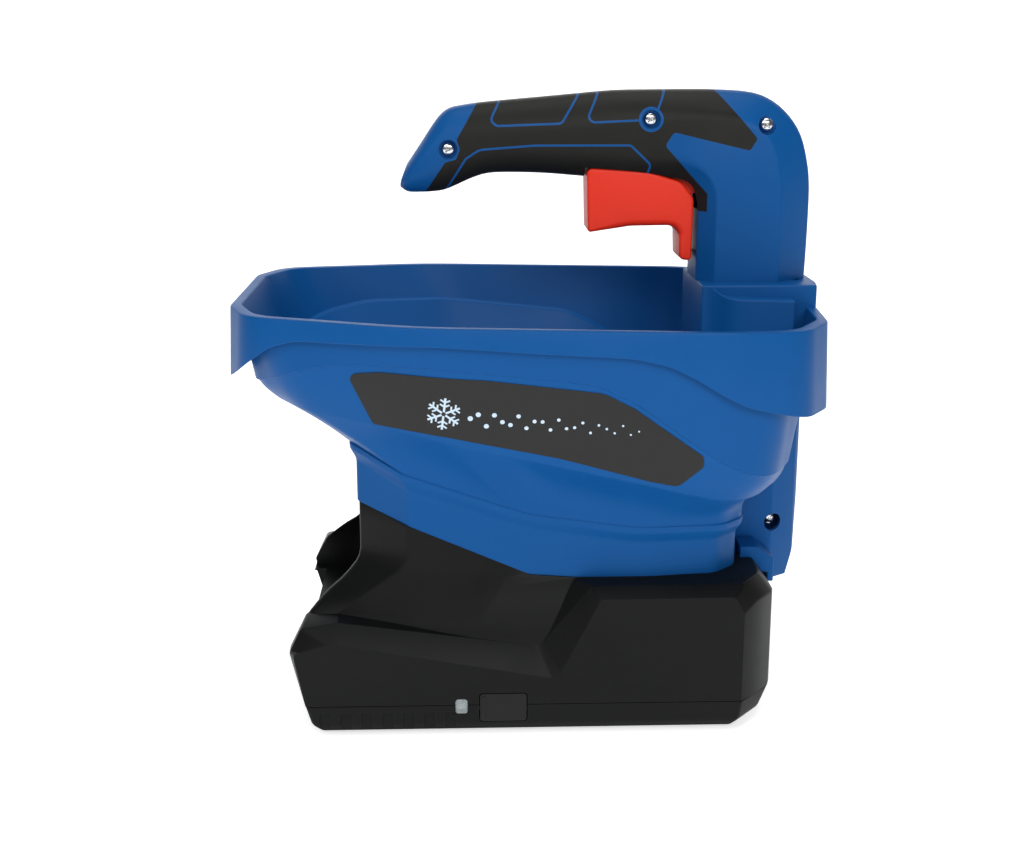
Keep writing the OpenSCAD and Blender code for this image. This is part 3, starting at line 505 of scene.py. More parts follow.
def hollow_at(x, t):
    """The undercut's depth: shallow in front and, beyond a slanting step, deeper towards the rear."""
    step = smooth((x - (15 - 31 * t)) / (3 + 14 * t))
    return mix(-1.6, -5.2, step)


def crowned(_x, _t):
    return 0.9


def soft_profile(keys, steps=4):
    """Rings along a profile; each key is a ring and the reach over which its corner is rounded."""
    rings = []
    for k, (points, reach) in enumerate(keys):
        if not reach or k in (0, len(keys) - 1):
            rings.append(points)
            continue
        before, after = keys[k - 1][0], keys[k + 1][0]
        curves = [eased_corner(a, b, c, reach, steps) for a, b, c in zip(before, points, after)]
        rings += [list(curve) for curve in zip(*curves)]
    return rings


def on_line(line, rise=0.0, reach=5.0):
    return lambda x: soft_along(line, x, reach) + rise


def level(z):
    return lambda x: z


def rim(drop=0.0):
    """The rim's height, which rises a little towards the front."""
    return lambda x: RIM_Z + RIM_SLOPE * (20 - x) - drop


def side_wall(grow):
    """The rings of the sloping side between the crease and the ridge."""
    crease = ring(CREASE_PLAN, on_line(CREASE_LINE), grow)
    ridge = ring(RIDGE_PLAN, on_line(RIDGE_LINE), grow)
    return crease, [r for r, _ in bulged(crease, ridge, crowned, 4)], ridge


def hopper_bowl():
    crease, wall, ridge = side_wall(0)
    lip = ring(LIP_PLAN, on_line(LIP_LINE))
    inner_crease = ring(CREASE_PLAN, on_line(CREASE_LINE), -WALL)
    inner_lip = ring(LIP_PLAN, on_line(LIP_LINE), -WALL)
    keys = [
        (ring(COLLAR_PLAN, on_line(SEAT_LINE, 0.05, 1.0)), 0),
        (ring(COLLAR_PLAN, on_line(LIP_LINE, -8.5)), 1.6),
        (ring(LIP_PLAN, on_line(LIP_LINE, -3.4), 0.3), 0.7),
        (ring(LIP_PLAN, on_line(LIP_LINE, -0.4), 0.6), 0.8),
        (lip, 0.8),
        *bulged(lip, crease, hollow_at, 9),
        (crease, 1.0),
        *[(r, 0) for r in wall],
        (ridge, 0.3),
        (ring(RIDGE_PLAN, on_line(RIDGE_LINE, 0.3), 0.9), 0.4),
        (ring(RIM_PLAN, rim(4), -3.4), 0.8),
        (ring(RIM_PLAN, rim(4), -2.5), 0.4),
        (ring(RIM_PLAN, on_line(SKIRT_EDGE, 0, 2.5), SKIRT_FLARE - SKIRT_WALL), 0.7),
        (ring(RIM_PLAN, on_line(SKIRT_EDGE, 0, 2.5), SKIRT_FLARE), 0.7),
        (ring(RIM_PLAN, rim()), 1.1),
        (ring(RIM_PLAN, rim(), -4.6), 0.9),
        (ring(RIDGE_PLAN, on_line(RIDGE_LINE, 1.2), 1.4 - WALL), 0.5),
        (ring(RIDGE_PLAN, on_line(RIDGE_LINE), -WALL), 0.5),
        (inner_crease, 1.5),
        *bulged(inner_crease, inner_lip, lambda x, t: hollow_at(x, 1 - t), 9),
        (inner_lip, 2.0),
        (ring(COLLAR_PLAN, on_line(LIP_LINE, -4), -WALL), 1.5),
        (ring(COLLAR_PLAN, on_line(SEAT_LINE, WALL, 1.0), -WALL), 0),
    ]
    return loft("hopper_moulding", soft_profile(keys), cap="strip")


PEDESTAL_FRONT = 84.6
PEDESTAL_HALF = 32.0
CHANNEL_HALF = 20.6
# Stations of the shoulder: x, half width, how far it lies under the block's top
SHOULDER = [(88.6, 31.4, 0.9), (90.4, 32.6, 1.4), (92.4, 34.0, 3.0), (94.8, 36.2, 4.4), (97.6, 38.6, 5.1),
            (101, 40.0, 5.4), (106, 40.3, 5.6), (128, 40.3, 6.2)]


def pedestal():
    """The block inside the bowl that carries the column, with a lower shoulder that swells out beside it."""
    front, rear, top = PEDESTAL_FRONT, REAR_X - 1.9, PEDESTAL_TOP
    half = [(front, PEDESTAL_HALF, 0), (rear, PEDESTAL_HALF, 1.5), (rear + 1.9, CHANNEL_HALF, 1.5)]
    block = prism_z("pedestal", level_ring(half, 0, 4), 78, top)
    soften(block, 0.9)
    rows = []
    for x, half, drop in SHOULDER:
        height = top - drop
        corners = [(-half, 150, 0), (half, 150, 0), (half, height, 1.0), (-half, height, 1.0)]
        rows.append([Vector((x, p.x, p.y)) for p in outline(corners, 4)])
    return add(block, loft("shoulder", rows))


def hopper():
    bowl = hopper_bowl()
    block = pedestal()
    # The block's foot follows the bowl's outer wall
    keep = loft("keep", soft_profile([
        (ring(COLLAR_PLAN, level(60), -0.4), 0),
        (ring(LIP_PLAN, on_line(LIP_LINE), -0.6), 0),
        (ring(CREASE_PLAN, on_line(CREASE_LINE), -0.6), 0),
        (ring(RIDGE_PLAN, on_line(RIDGE_LINE), -0.6), 0),
        (ring(RIM_PLAN, rim(6), -2.0), 0),
        (ring(RIM_PLAN, rim(), 2.0), 0),
        (ring(RIM_PLAN, level(PEDESTAL_TOP + 10), 4.0), 0),
    ]), cap="strip")
    combine(block, keep, "INTERSECT")
    add(bowl, block)
    channel = prism_y("channel", [(PEDESTAL_FRONT + WALL, 40), (REAR_X + 20, 40), (REAR_X + 20, 159),
                                  (REAR_X - 0.8, 159), (REAR_X - 2.2, 190), (PEDESTAL_FRONT + WALL, 190)],
                      -CHANNEL_HALF, CHANNEL_HALF)
    cut(bowl, channel)
    cut(bowl, slab("passage", 94, 136, -15, 15, 180, 220))
    cut(bowl, slab("outlet", 4, 14, -12, 12, 60, 90))
    cut(bowl, rod_z("shaft_hole", SPINNER_X, 0, 8, 60, 112, 48))
    return place(bowl, "frame", ["hopper"], BLUE, angle=24)


LABEL_CORNERS = [(-83.4, 181.0, 3), (-69, 182.7, 10), (-20, 180.0, 60), (32, 173.8, 14), (46, 166.6, 8),
                 (77.4, 144.2, 3), (78, 138.8, 3), (67.4, 127.4, 4), (55, 129.6, 8), (12.9, 141.2, 60),
                 (-38.3, 151.4, 60), (-72.6, 156.0, 3)]
LABEL_PROUD = 0.3


def half_ring(points, side):
    """The part of a ring on one side of Y = 0."""
    middle = len(points) // 2
    return points[:middle] if side < 0 else points[middle:]


def label_shell(name, side, low, high):
    """A closed sheet over one sloping side, from low to high off the hopper's surface."""
    strips = []
    for grow, order in ((low, 1), (high, -1)):
        crease, wall, ridge = side_wall(grow)
        strips += [half_ring(r, side) for r in [crease, *wall, ridge][::order]]
    return loft(name, [list(row) for row in zip(*strips)])


def label(name, side, node):
    sheet = label_shell(name, side, -0.5, LABEL_PROUD)
    cutter = prism_y("label_cutter", outline(LABEL_CORNERS, 5), *sorted((side * 40, side * 120)))
    combine(sheet, cutter, "INTERSECT")
    return place(sheet, "frame", [node], LABEL, angle=30)


def surface_tree(obj):
    return BVHTree.FromObject(obj, bpy.context.evaluated_depsgraph_get())


def emblem(name, side, tree):
    """A plain six-armed snowflake and falling granules, printed on the label."""
    shapes = []
    centre = Vector((-40, 163.5))
    tilt = math.radians(-7)
    granules = 22

    def bar(origin, angle, start, length, width):
        u = Vector((math.cos(angle), math.sin(angle)))
        v = Vector((-u.y, u.x)) * width / 2
        a, b = origin + u * start, origin + u * (start + length)
        shapes.append([a - v, b - v, b + v, a + v])

    for k in range(6):
        angle = tilt + math.radians(30 + 60 * k)
        bar(centre, angle, 1.0, 7.0, 1.0)
        for share in (3.6, 5.8):
            for turn in (-60, 60):
                tip = centre + Vector((math.cos(angle), math.sin(angle))) * share
                bar(tip, angle + math.radians(turn), 0.5, 2.0, 0.8)
    for k in range(granules):
        drift = k / (granules - 1)
        size = mix(1.25, 0.45, drift)
        x = -28 + 76 * drift
        wave = 3.4 * math.sin(k * 2.4)
        z = mix(161.5, 155.5, drift) + wave * (1 - 0.35 * drift)
        shapes.append(circle(x, z, size, 10))
    points, faces = [], []
    for shape in shapes:
        first = len(points)
        n = len(shape)
        for depth in (0.1, -0.12):
            for p in shape:
                hit = tree.ray_cast(Vector((p.x, side * 200, p.y)) * MM, Vector((0, -side, 0)))[0]
                points.append(Vector((p.x, hit.y / MM - side * depth, p.y)))
        faces.append([first + i for i in range(n)])
        faces.append([first + n + i for i in range(n)])
        faces += [(first + i, first + (i + 1) % n, first + n + (i + 1) % n, first + n + i) for i in range(n)]
    printed = outward_faces(new_object(name, points, faces))
    return place(printed, "frame", [], EMBLEM)


# ---------------------------------------------------------------- handle

# Stations from the column's foot round the bend to the front of the grip. Each has the inner edge, the two
# edges of the side face, the outer edge, the half widths at those four, and the reach of the rounding.
STATIONS = [
    ((84, 212), (92, 212), (123.5, 212), (139.6, 212), (14, 22, 22, 8), 0.8),
    ((84, 228), (92, 228), (123.5, 228), (140, 228), (14, 22, 22, 8), 0.8),
    ((84, 241), (92, 243), (123.5, 244), (140.2, 246), (14, 22, 22, 8), 0.8),
    ((84, 247), (92.0, 251), (123.2, 254), (139.9, 259), (14, 22, 22, 8), 0.8),
    ((83.6, 250), (91, 257.5), (122.4, 263), (138.2, 270), (14, 22, 22, 8.5), 0.9),
    ((82.8, 253), (88.0, 263.2), (120.6, 272.4), (134.6, 282), (13.6, 21.8, 21.6, 9), 1.2),
    ((81.8, 255.2), (84, 267.2), (116.6, 281.6), (128.8, 291), (13, 21.2, 21, 9.6), 2.0),
    ((80.4, 256.8), (79.4, 269.6), (108.5, 288.6), (121, 298.0), (12.4, 20.4, 20.4, 10), 3.0),
    ((78, 257.6), (74.4, 271.0), (98, 291.8), (111, 302.2), (12, 19.6, 19.6, 10.4), 3.8),
    ((73, 258.2), (69, 271.2), (86, 292.8), (98, 303.4), (11.6, 18.6, 18.8, 10.6), 4.6),
    ((66, 259), (62.5, 271.2), (74, 293.4), (82, 303.7), (11.2, 17.8, 18, 10.6), 5.2),
    ((56, 260), (54, 271.6), (60, 293.2), (64, 303.6), (11, 17.2, 17.2, 10.4), 5.4),
    ((42, 261.2), (42, 272.2), (43, 292.4), (44, 303.3), (10.8, 17, 17, 10.2), 5.6),
    ((26, 262.6), (26, 273), (26, 290.8), (26, 301.8), (10.8, 17, 17, 10.2), 5.6),
    ((10, 263.9), (10, 273.6), (10, 289.6), (9.6, 300.3), (10.8, 17, 17, 10.2), 5.6),
    ((-6, 264.4), (-6.6, 273.8), (-7.4, 288.4), (-8, 298.8), (10.8, 17, 17, 10.2), 5.6),
    ((-18, 264), (-19.4, 272.8), (-21, 287), (-21.8, 297.5), (10.8, 16.8, 16.8, 10.2), 5.6),
    ((-26, 261.7), (-28.2, 270.6), (-30.6, 285.6), (-30.6, 296.3), (10.6, 16.6, 16.6, 10), 5.6),
    ((-33, 258.6), (-35.6, 267.6), (-38.0, 283.2), (-37.0, 294.8), (10.4, 16.4, 16.4, 9.8), 5.4),
    ((-39.5, 256), (-42.4, 264.8), (-42.8, 279.4), (-41.6, 291.4), (10.2, 16.2, 16.2, 9.6), 5.0),
    ((-46, 255.1), (-48.6, 262.2), (-47.8, 275.4), (-45.6, 286.2), (10, 15.8, 15.8, 9.2), 4.4),
    ((-52, 254.9), (-53.8, 260.6), (-52.2, 271.4), (-49.8, 279.9), (9.4, 14.8, 14.8, 8.6), 3.8),
    ((-57.4, 255.1), (-58.0, 259.4), (-56, 268.0), (-54.2, 273.4), (8.2, 12.8, 12.8, 7.6), 3.0),
    ((-61.0, 257.2), (-60.9, 260.0), (-58.9, 265.4), (-57.9, 268.0), (5.6, 9, 9, 5.2), 2.0),
]


# How far each half of the handle stays from Y = 0
HALF_GAP = 0.05


def half_section(station, side, shrink):
    """The half ring of one station, from the inner edge round the side to the outer edge."""
    inner, front, rear, outer, widths, reach = station
    at = [Vector(p) for p in (inner, inner, front, rear, outer, outer)]
    across = (at[5] - at[0]).normalized()
    at[0] += across * shrink
    at[1] += across * shrink
    at[4] -= across * shrink
    at[5] -= across * shrink
    gap = -1.0 if shrink else HALF_GAP
    half = [gap, widths[0] - shrink, widths[1] - shrink, widths[2] - shrink, widths[3] - shrink, gap]
    corners = [Vector((p.x, side * w, p.y)) for p, w in zip(at, half)]
    points = [corners[0]]
    for i in range(1, 5):
        a, b, c = corners[i - 1:i + 2]
        room = reach if i in (2, 3) else min(reach * 1.6, 9.0)
        points += eased_corner(a, b, c, room, 4)
    points.append(corners[5])
    return points


def smooth_stations(steps=3):
    """The stations with more between them on a smooth curve."""
    def flat(s):
        return [v for p in s[:4] for v in p] + list(s[4]) + [s[5]]

    rows = [flat(s) for s in STATIONS]
    dense = []
    for i in range(len(rows) - 1):
        a, b, c, d = rows[max(i - 1, 0)], rows[i], rows[i + 1], rows[min(i + 2, len(rows) - 1)]
        for k in range(steps):
            t = k / steps
            dense.append([0.5 * (2 * q + (r - p) * t + (2 * p - 5 * q + 4 * r - s) * t * t
                                 + (3 * q - p - 3 * r + s) * t ** 3) for p, q, r, s in zip(a, b, c, d)])
    dense.append(rows[-1])
    return [((v[0], v[1]), (v[2], v[3]), (v[4], v[5]), (v[6], v[7]), tuple(v[8:12]), v[12]) for v in dense]


DENSE_STATIONS = smooth_stations()


def grip_half(name, side, shrink=0.0):
    return loft(name, [half_section(s, side, shrink) for s in DENSE_STATIONS])


SPINE_SCREW = (middle_mm("spine_screw").x, middle_mm("spine_screw").z)


def foot_block(side):
    """The faceted block at the spine's foot, which sits on the base behind the hopper."""
    view = [(107.2, 67), (107.2, 80.6), (116, 80.6), (124.6, 74.2), (124.6, 62), (121.5, 62), (121.5, 67)]
    block = prism_y("foot_block", view, *sorted((side * HALF_GAP, side * 37.5)))
    return soften(block, 0.7, angle=15)


def spine_half(name, side):
    """The lower part of the column, which hangs behind the hopper and stands on the base."""
    plan = [(107, 20), (126, 20), (139, 11), (141, 8), (141, HALF_GAP), (107, HALF_GAP)]
    view = [(107, 188), (107, 67), (121.4, 67), (121.4, 57), (136, 57), (140, 70), (141, 100), (141, 158),
            (139.6, 188)]
    block = prism_z(name, [(x, side * y) for x, y in plan], 40, 190)
    combine(block, prism_y("spine_view", view, -40, 40), "INTERSECT")
    hollow = prism_z("spine_hollow", [(109.6, side * -1), (109.6, side * 17.4), (125, side * 17.4),
                                      (136, side * 10), (136, side * -1)], 40, 180)
    soften(block, 0.8, angle=15)
    cut(block, hollow)
    return block


MOULD_OUTLINE = [(-15.4, 311.6, 0), (-33.3, 280.6, 1.5), (-31.8, 276, 3), (-33.7, 271.2, 1.2),
                 (-39.0, 269.8, 1.5), (-55, 246.2, 0), (88, 246, 0), (88, 254.6, 0), (67, 277.6, 2.0),
                 (71, 284, 2.0), (107.4, 275.4, 1.5), (111, 281, 1.5), (84, 312, 0)]
MOULD_T = 1.3
# The blue lines that show between the parts of the grip skin
LINE_WIDTH = 1.0
LINES = [
    outline([(-10, 304, 0), (-17.2, 289.4, 2.5), (-14, 287, 2.5), (17, 288.1, 3), (27.5, 305, 0)], 4),
    outline([(36.5, 306, 0), (29.5, 290.6, 2.5), (32.4, 288.6, 2.5), (55, 289.6, 0)], 4),
    outline([(63.0, 294, 0), (68, 306, 0)], 4),
    outline([(-42, 251, 0), (-29, 271.5, 3), (-22.4, 275.8, 8), (4, 277.8, 40), (50.4, 277.8, 3),
             (60.4, 268.4, 2.5), (58.4, 262, 0)], 4),
]
SPRING_X = 44
HANDLE_SCREWS = [(-37.4, 276.0), (60.0, 290.0), (115.8, 287.3)]
RECESS_R = 4.6
RING_R = 5.9


def half_width_at(tree, x, z):
    """How far the handle's left side stands from Y = 0."""
    hit = tree.ray_cast(Vector((x, -60, z)) * MM, Vector((0, 1, 0)))[0]
    return abs(hit.y) / MM


def screw_depths():
    """The rim of each head of the three screws along the handle, a little under the surface."""
    probe = grip_half("probe", -1)
    tree = surface_tree(probe)
    depths = [-half_width_at(tree, x, z) + 1.9 for x, z in HANDLE_SCREWS]
    bpy.data.objects.remove(probe)
    return depths


SCREW_Y = screw_depths()


def trigger_slot(obj):
    """Room for the trigger, its hub and its spring."""
    cut(obj, side_slab("slot", 28.8, 84.8, -13.5, 13.5, 225, 281))
    cut(obj, side_slab("hub_room", 78, 96, -8.6, 8.6, 246, 272))
    return cut(obj, rod_z("spring_room", SPRING_X, 0, 6.0, 270, 299.4))


def handle_side(side, word):
    full = grip_half("handle_" + word, side)
    trigger_slot(full)
    wide = side_slab("hollow", 94, 120, *sorted((side * -1, side * 16)), 200, 268)
    cut(full, wide)
    deep = side_slab("hollow", 118, 131, *sorted((side * -1, side * 5.5)), 200, 270)
    cut(full, deep)
    if side < 0:
        for (x, z), head_y in zip(HANDLE_SCREWS, SCREW_Y):
            cut(full, rod_y("recess", x, z, RECESS_R, -40, head_y + 1.4))
    zone = prism_y("mould_zone", outline(MOULD_OUTLINE, 4), -40, 40)
    core = grip_half("core", side, MOULD_T)
    cut(zone, core)
    if side < 0:
        cut(zone, rod_y("boss", *HANDLE_SCREWS[1], RING_R, -38, -6))
    for path in LINES:
        band = prism_y("line", ribbon(path, LINE_WIDTH), *sorted((side * -1, side * 41)))
        cut(zone, band)
    mould = copy_of(full, "grip_" + word)
    combine(mould, zone, "INTERSECT", keep=True)
    cut(full, zone)
    spine = spine_half("spine", side)
    if side < 0:
        cut(spine, rod_y("spine_recess", *SPINE_SCREW, RECESS_R, -40, -10))
    add(spine, foot_block(side))
    # The bell crank swings out through the front of the spine
    cut(spine, slab("crank_room", 105, 128, -6, 6, 60, 84))
    cut(spine, slab("crank_slot", 104, 111.5, -4.2, 4.2, 80, 99))
    shell = join([full, spine], "handle_shell_%s_moulding" % word)
    place(shell, "frame", ["handle_shell_" + word], BLUE, angle=22)
    mould.name = "grip_overmould_%s_skin" % word
    return place(mould, "frame", ["grip_overmould_" + word], SOFT, angle=26)


def screw(name, x, z, head_y, length):
    """A pan-head cross-recess screw along +Y, with its head's rim at head_y."""
    profile = [(0.02, -0.9), (1.4, -0.86), (2.5, -0.55), (3.2, 0.1), (3.4, 0.9), (3.3, 1.7), (1.45, 1.75),
               (1.45, length - 2), (0.2, length)]
    body = loft(name, [[Vector((p.x, head_y + d, p.y)) for p in circle(x, z, r, 32)] for r, d in profile])
    for turn in (45, 135):
        u = Vector((math.cos(math.radians(turn)), math.sin(math.radians(turn))))
        v = Vector((-u.y, u.x))
        rings = []
        for depth, long, wide in ((-1.6, 2.25, 0.5), (0.9, 1.2, 0.3)):
            ends = [u * (a * long) + v * (b * wide) for a, b in ((-1, -1), (1, -1), (1, 1), (-1, 1))]
            rings.append([Vector((x + e.x, head_y + depth, z + e.y)) for e in ends])
        cut(body, loft("wing", rings))
    return body


def handle_screws():
    screws = [screw("screw", x, z, head_y, 22) for (x, z), head_y in zip(HANDLE_SCREWS, SCREW_Y)]
    place(join(screws, "handle_screws_detailed"), "frame", ["handle_screws"], ZINC, angle=35)
    lower = screw("spine_screw_detailed", *SPINE_SCREW, box_mm("spine_screw")[0].y + 1.0, 20)
    place(lower, "frame", ["spine_screw"], ZINC, angle=35)


# ---------------------------------------------------------------- trigger

TRIGGER_OUTLINE = [(29.7, 267, 3), (60, 265, 30), (76, 260, 8), (82.4, 252, 5), (82, 221.4, 1.5),
                   (76, 222, 2.5), (75.4, 238.7, 6), (52, 238.4, 30), (30.5, 235.5, 1.5)]
TRIGGER_HALF = 13.0
PIVOT = (99.0, 262.0)


def rounded_prism_y(name, shape, half, reach, steps=5):
    """A side view drawn across Y = 0 whose edges are rounded; reach gives the rounding at each point."""
    n = len(shape)
    area = sum(shape[i - 1].x * shape[i].y - shape[i].x * shape[i - 1].y for i in range(n))
    turn = 1 if area > 0 else -1
    inward = []
    for i in range(n):
        step = (shape[(i + 1) % n] - shape[i - 1]).normalized()
        inward.append(Vector((-step.y, step.x)) * turn)
    rings = []
    for side in (-1, 1):
        part = []
        for s in range(steps + 1):
            angle = math.pi / 2 * s / steps
            row = []
            for p, v in zip(shape, inward):
                r = reach(p)
                q = p + v * r * (1 - math.sin(angle))
                row.append(Vector((q.x, side * (half - r * (1 - math.cos(angle))), q.y)))
            part.append(row)
        rings += part if side < 0 else part[::-1]
    return loft(name, rings)


def trigger():
    face = outline(TRIGGER_OUTLINE, 6)

    def reach(p):
        """How far the edge is rounded: most where the fingers lie."""
        if p.x < 34:
            return 1.4
        return 3.6 if p.x < 75.6 and p.y < 242 else 1.5

    body = rounded_prism_y("trigger_moulding", face, TRIGGER_HALF, reach)
    add(body, rod_y("hub", *PIVOT, 5.5, -8, 8))
    neck = [(70, 252), (82, 254), (99, 257), (99, 266), (78, 262), (70, 262)]
    add(body, prism_y("neck", neck, -7.9, 7.9))
    add(body, side_slab("arm", 99, 128, -3, 3, 259.5, 264.5))
    cut(body, side_slab("pocket", 33, 69, -10.6, 10.6, 241, 290))
    add(body, rod_z("seat", SPRING_X, 0, 5, 238.6, 255.0))
    add(body, rod_z("peg", SPRING_X, 0, 1.6, 250, 259.0))
    cut(body, rod_y("pin_hole", *PIVOT, 2.1, -20, 20))
    return place(body, "trigger", ["trigger"], RED, angle=30)


def trigger_spring():
    """The return spring, a wound wire that shortens as the trigger is pulled; here it is built at one fixed
    length.
    """
    low, high, turns, steps = 256.6, 298.4, 5, 24
    coil, wire = 3.8, 0.48
    climb = (high - low) / (turns * math.tau)
    rows = []
    for k in range(turns * steps + 1):
        a = math.tau * k / steps
        out = Vector((math.cos(a), math.sin(a), 0))
        along_wire = Vector((-coil * math.sin(a), coil * math.cos(a), climb)).normalized()
        side = along_wire.cross(out)
        centre = Vector((SPRING_X, 0, low + climb * a)) + out * coil
        turn = [math.tau * i / 10 for i in range(10)]
        rows.append([centre + out * wire * math.cos(b) + side * wire * math.sin(b) for b in turn])
    spring = loft("trigger_spring_wound", rows)
    place(spring, "frame", ["trigger_spring"], STEEL, angle=60)
    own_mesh(spring)


# ---------------------------------------------------------------- base

SEAM_Z = 16.0
DECK_Z = 37.0
ROOF_Z = 69.8
BAY_X = 30.0

# Side views (x, z, radius) of the box at four distances from the middle, each with the same nine corners
BOX_SECTIONS = [
    (79.0, [(-108.3, 16, 0), (-113.6, 43.4, 3), (-97, 47.9, 3), (-92.6, 47.9, 2), (13.0, 28.8, 5),
            (33.6, 69.2, 2), (98, 69.6, 2), (102.6, 61, 3), (102.6, 16, 0)]),
    (72.5, [(-109.3, 16, 0), (-115.9, 41.5, 3), (-110, 54.0, 3), (-92.4, 56.7, 2), (4.6, 43.4, 5),
            (29.5, 74, 3), (103, 74.2, 2), (109.4, 65, 3), (109.4, 16, 0)]),
    (61.0, [(-109.5, 16, 0), (-116.7, 41, 3), (-108.2, 57, 3), (-92.6, 57.9, 2), (1.0, 46, 5),
            (19, 75.2, 4), (111.5, 75.2, 2), (118.8, 65.4, 3), (118.8, 16, 0)]),
    (55.0, [(-109.5, 16, 0), (-116.7, 41, 3), (-108.2, 57, 3), (-92.6, 57.9, 2), (1.0, 46, 5),
            (19, 75.2, 4), (113, 75.2, 2), (120.6, 65, 3), (120.6, 16, 0)]),
]

# Where the mouth's front edge, the corner behind it and the middle of the side stand (x, half width) at
# each height
FRONT_EDGE = [(37, -116.5, 67), (41, -115.8, 66.5), (50, -112, 64.5), (56.5, -108, 61.6), (60, -104.6, 58.2),
              (63.5, -101, 55), (66, -98.4, 53), (71, -91.6, 49.5), (77, -85.4, 46), (81, -83.3, 44.6),
              (85, -82.6, 44)]
SIDE_CORNER = [(37, -98, 68.5), (50, -96, 65.5), (57.7, -92.8, 62.6), (68, -78, 62.2), (78, -64, 61.9),
               (84, -59.2, 61.9), (88, -58.2, 61.9)]
SIDE_MIDDLE = [(37, -32, 73), (49, -28, 72), (60, -20, 68.6), (70, -14, 65), (78, -10, 62.7), (90, -10, 62.7)]
COLLAR_REAR = [(60, 63, 40), (90.5, 59.5, 12), (102.8, 47.5, 11), (103.9, 17.5, 20)]
SLICES = [36, 41, 46, 50, 54, 58, 61, 64, 67, 71, 75, 78, 81, 85, 90, 100, 150]


# What is cut out of the housing: x, y and z from and to
ROOMS = [
    ("notch", 96, 108, -5.6, 5.6, ROOF_Z, 80),
    ("front_gap", -130, -109.7, -58, 58, 10, 80),
    ("foot_seat", 106.9, 130, -37.8, 37.8, 66.7, 90),
    ("under_deck", -104, BAY_X + 6, -67, 67, 10, DECK_Z - 2.6),
    ("board_room", -60, BAY_X, -76, -60, 10, 24),
    ("bay", BAY_X + 4, 104, -62, 62, 10, ROOF_Z - 2.6),
    ("bay_rear", 100, 117, -48, 48, 10, 63),
    ("wire_hole", 112.6, 117.8, 5, 16, 50, 80),
]


def corner_at(table, z):
    return along([(h, x) for h, x, _ in table], z), along([(h, y) for h, _, y in table], z)


def funnel_slice(z):
    """The level outline of the part that carries the hopper, at height z."""
    mx, my = corner_at(SIDE_MIDDLE, z)
    half = [(*corner_at(FRONT_EDGE, z), 3), (*corner_at(SIDE_CORNER, z), 6), (mx, my, 30), (28, my, 30),
            *COLLAR_REAR]
    return level_ring(half, z, 6)


def mouth_slice(z):
    """The open space inside it, which runs out through the front."""
    fx, fy = corner_at(FRONT_EDGE, z)
    kx, ky = corner_at(SIDE_CORNER, z)
    half = [(-135, fy - 2.2, 1), (fx + 0.8, fy - 2.2, 2), (kx + 1.2, ky - 2.6, 5), (-10, 59.8, 30),
            (BAY_X - 2, 59.8, 4), (BAY_X, 40, 10)]
    return level_ring(half, z, 6)


def box_block():
    rows = []
    for side, sections in ((-1, BOX_SECTIONS), (1, BOX_SECTIONS[::-1])):
        for y, corners in sections:
            rows.append([Vector((p.x, side * y, p.y)) for p in outline(corners, 6)])
    return loft("base_housing_moulding", rows)


FLAP_LOW, FLAP_HIGH = box_mm("charge_flap")
LENS_LOW, LENS_HIGH = box_mm("led_lens")


def window(name, low, high, gap, r):
    """A rounded opening through the near wall, a little larger than the part that fills it."""
    shape = rounded_box(low.x - gap, high.x + gap, low.z - gap, high.z + gap, r)
    return prism_y(name, shape, -90, -73)


def cut_windows(obj):
    cut(obj, window("flap_window", FLAP_LOW, FLAP_HIGH, 0.45, 1.6))
    return cut(obj, window("lens_window", LENS_LOW, LENS_HIGH, 0.15, 1.6))


def base_housing():
    block = box_block()
    soften(block, 0.9, segments=3, angle=24)
    funnel = loft("funnel", [funnel_slice(z) for z in SLICES])
    seat = SEAT_LINE + [(150, 220), (-150, 220)]
    cut(funnel, prism_y("above_seat", seat, -90, 90))
    soften(funnel, 0.5, segments=2, angle=35)
    add(block, funnel)
    cut(block, loft("mouth", [mouth_slice(z) for z in [DECK_Z] + SLICES[1:]]))
    roof = level_ring([(BAY_X - 4, 59, 1), (60, 59, 20), (86, 55, 10), (97, 44, 8), (98, 16, 20)], 0)
    cut(block, prism_z("roof_room", roof, ROOF_Z, 90))
    for name, *sides in ROOMS:
        cut(block, slab(name, *sides))
    cut(block, rod_z("bush_seat", SPINNER_X, 0, 7.5, 30, 42))
    cut_windows(block)
    cut(block, slab("trim", -150, 150, -90, 90, 0, SEAM_Z + 0.2))
    return place(block, "frame", ["base_housing"], BLACK, angle=24)


COVER_TOP = [(-109.5, 62, 3), (-109.2, 72.5, 3), (-108.1, 79, 2), (102.6, 79, 3), (118.8, 60.5, 4),
             (120.4, 52, 10)]
COVER_LOW = [(-106.6, 61, 3), (-106.4, 71.5, 3), (-105.4, 78.8, 2), (101.4, 78.8, 3), (113.6, 64.5, 4),
             (114.2, 52, 10)]
COVER_FOOT = [(-102.5, 60, 3), (-102.3, 69.5, 3), (-101.4, 77.4, 2), (98, 77.4, 3), (106.6, 64, 4),
              (107, 52, 10)]
RIB_START = -112.2
RIB_COUNT = 8
RIB_PITCH = 10.1
RIB_GAP = 5.6
RIB_FLOOR = 77.7


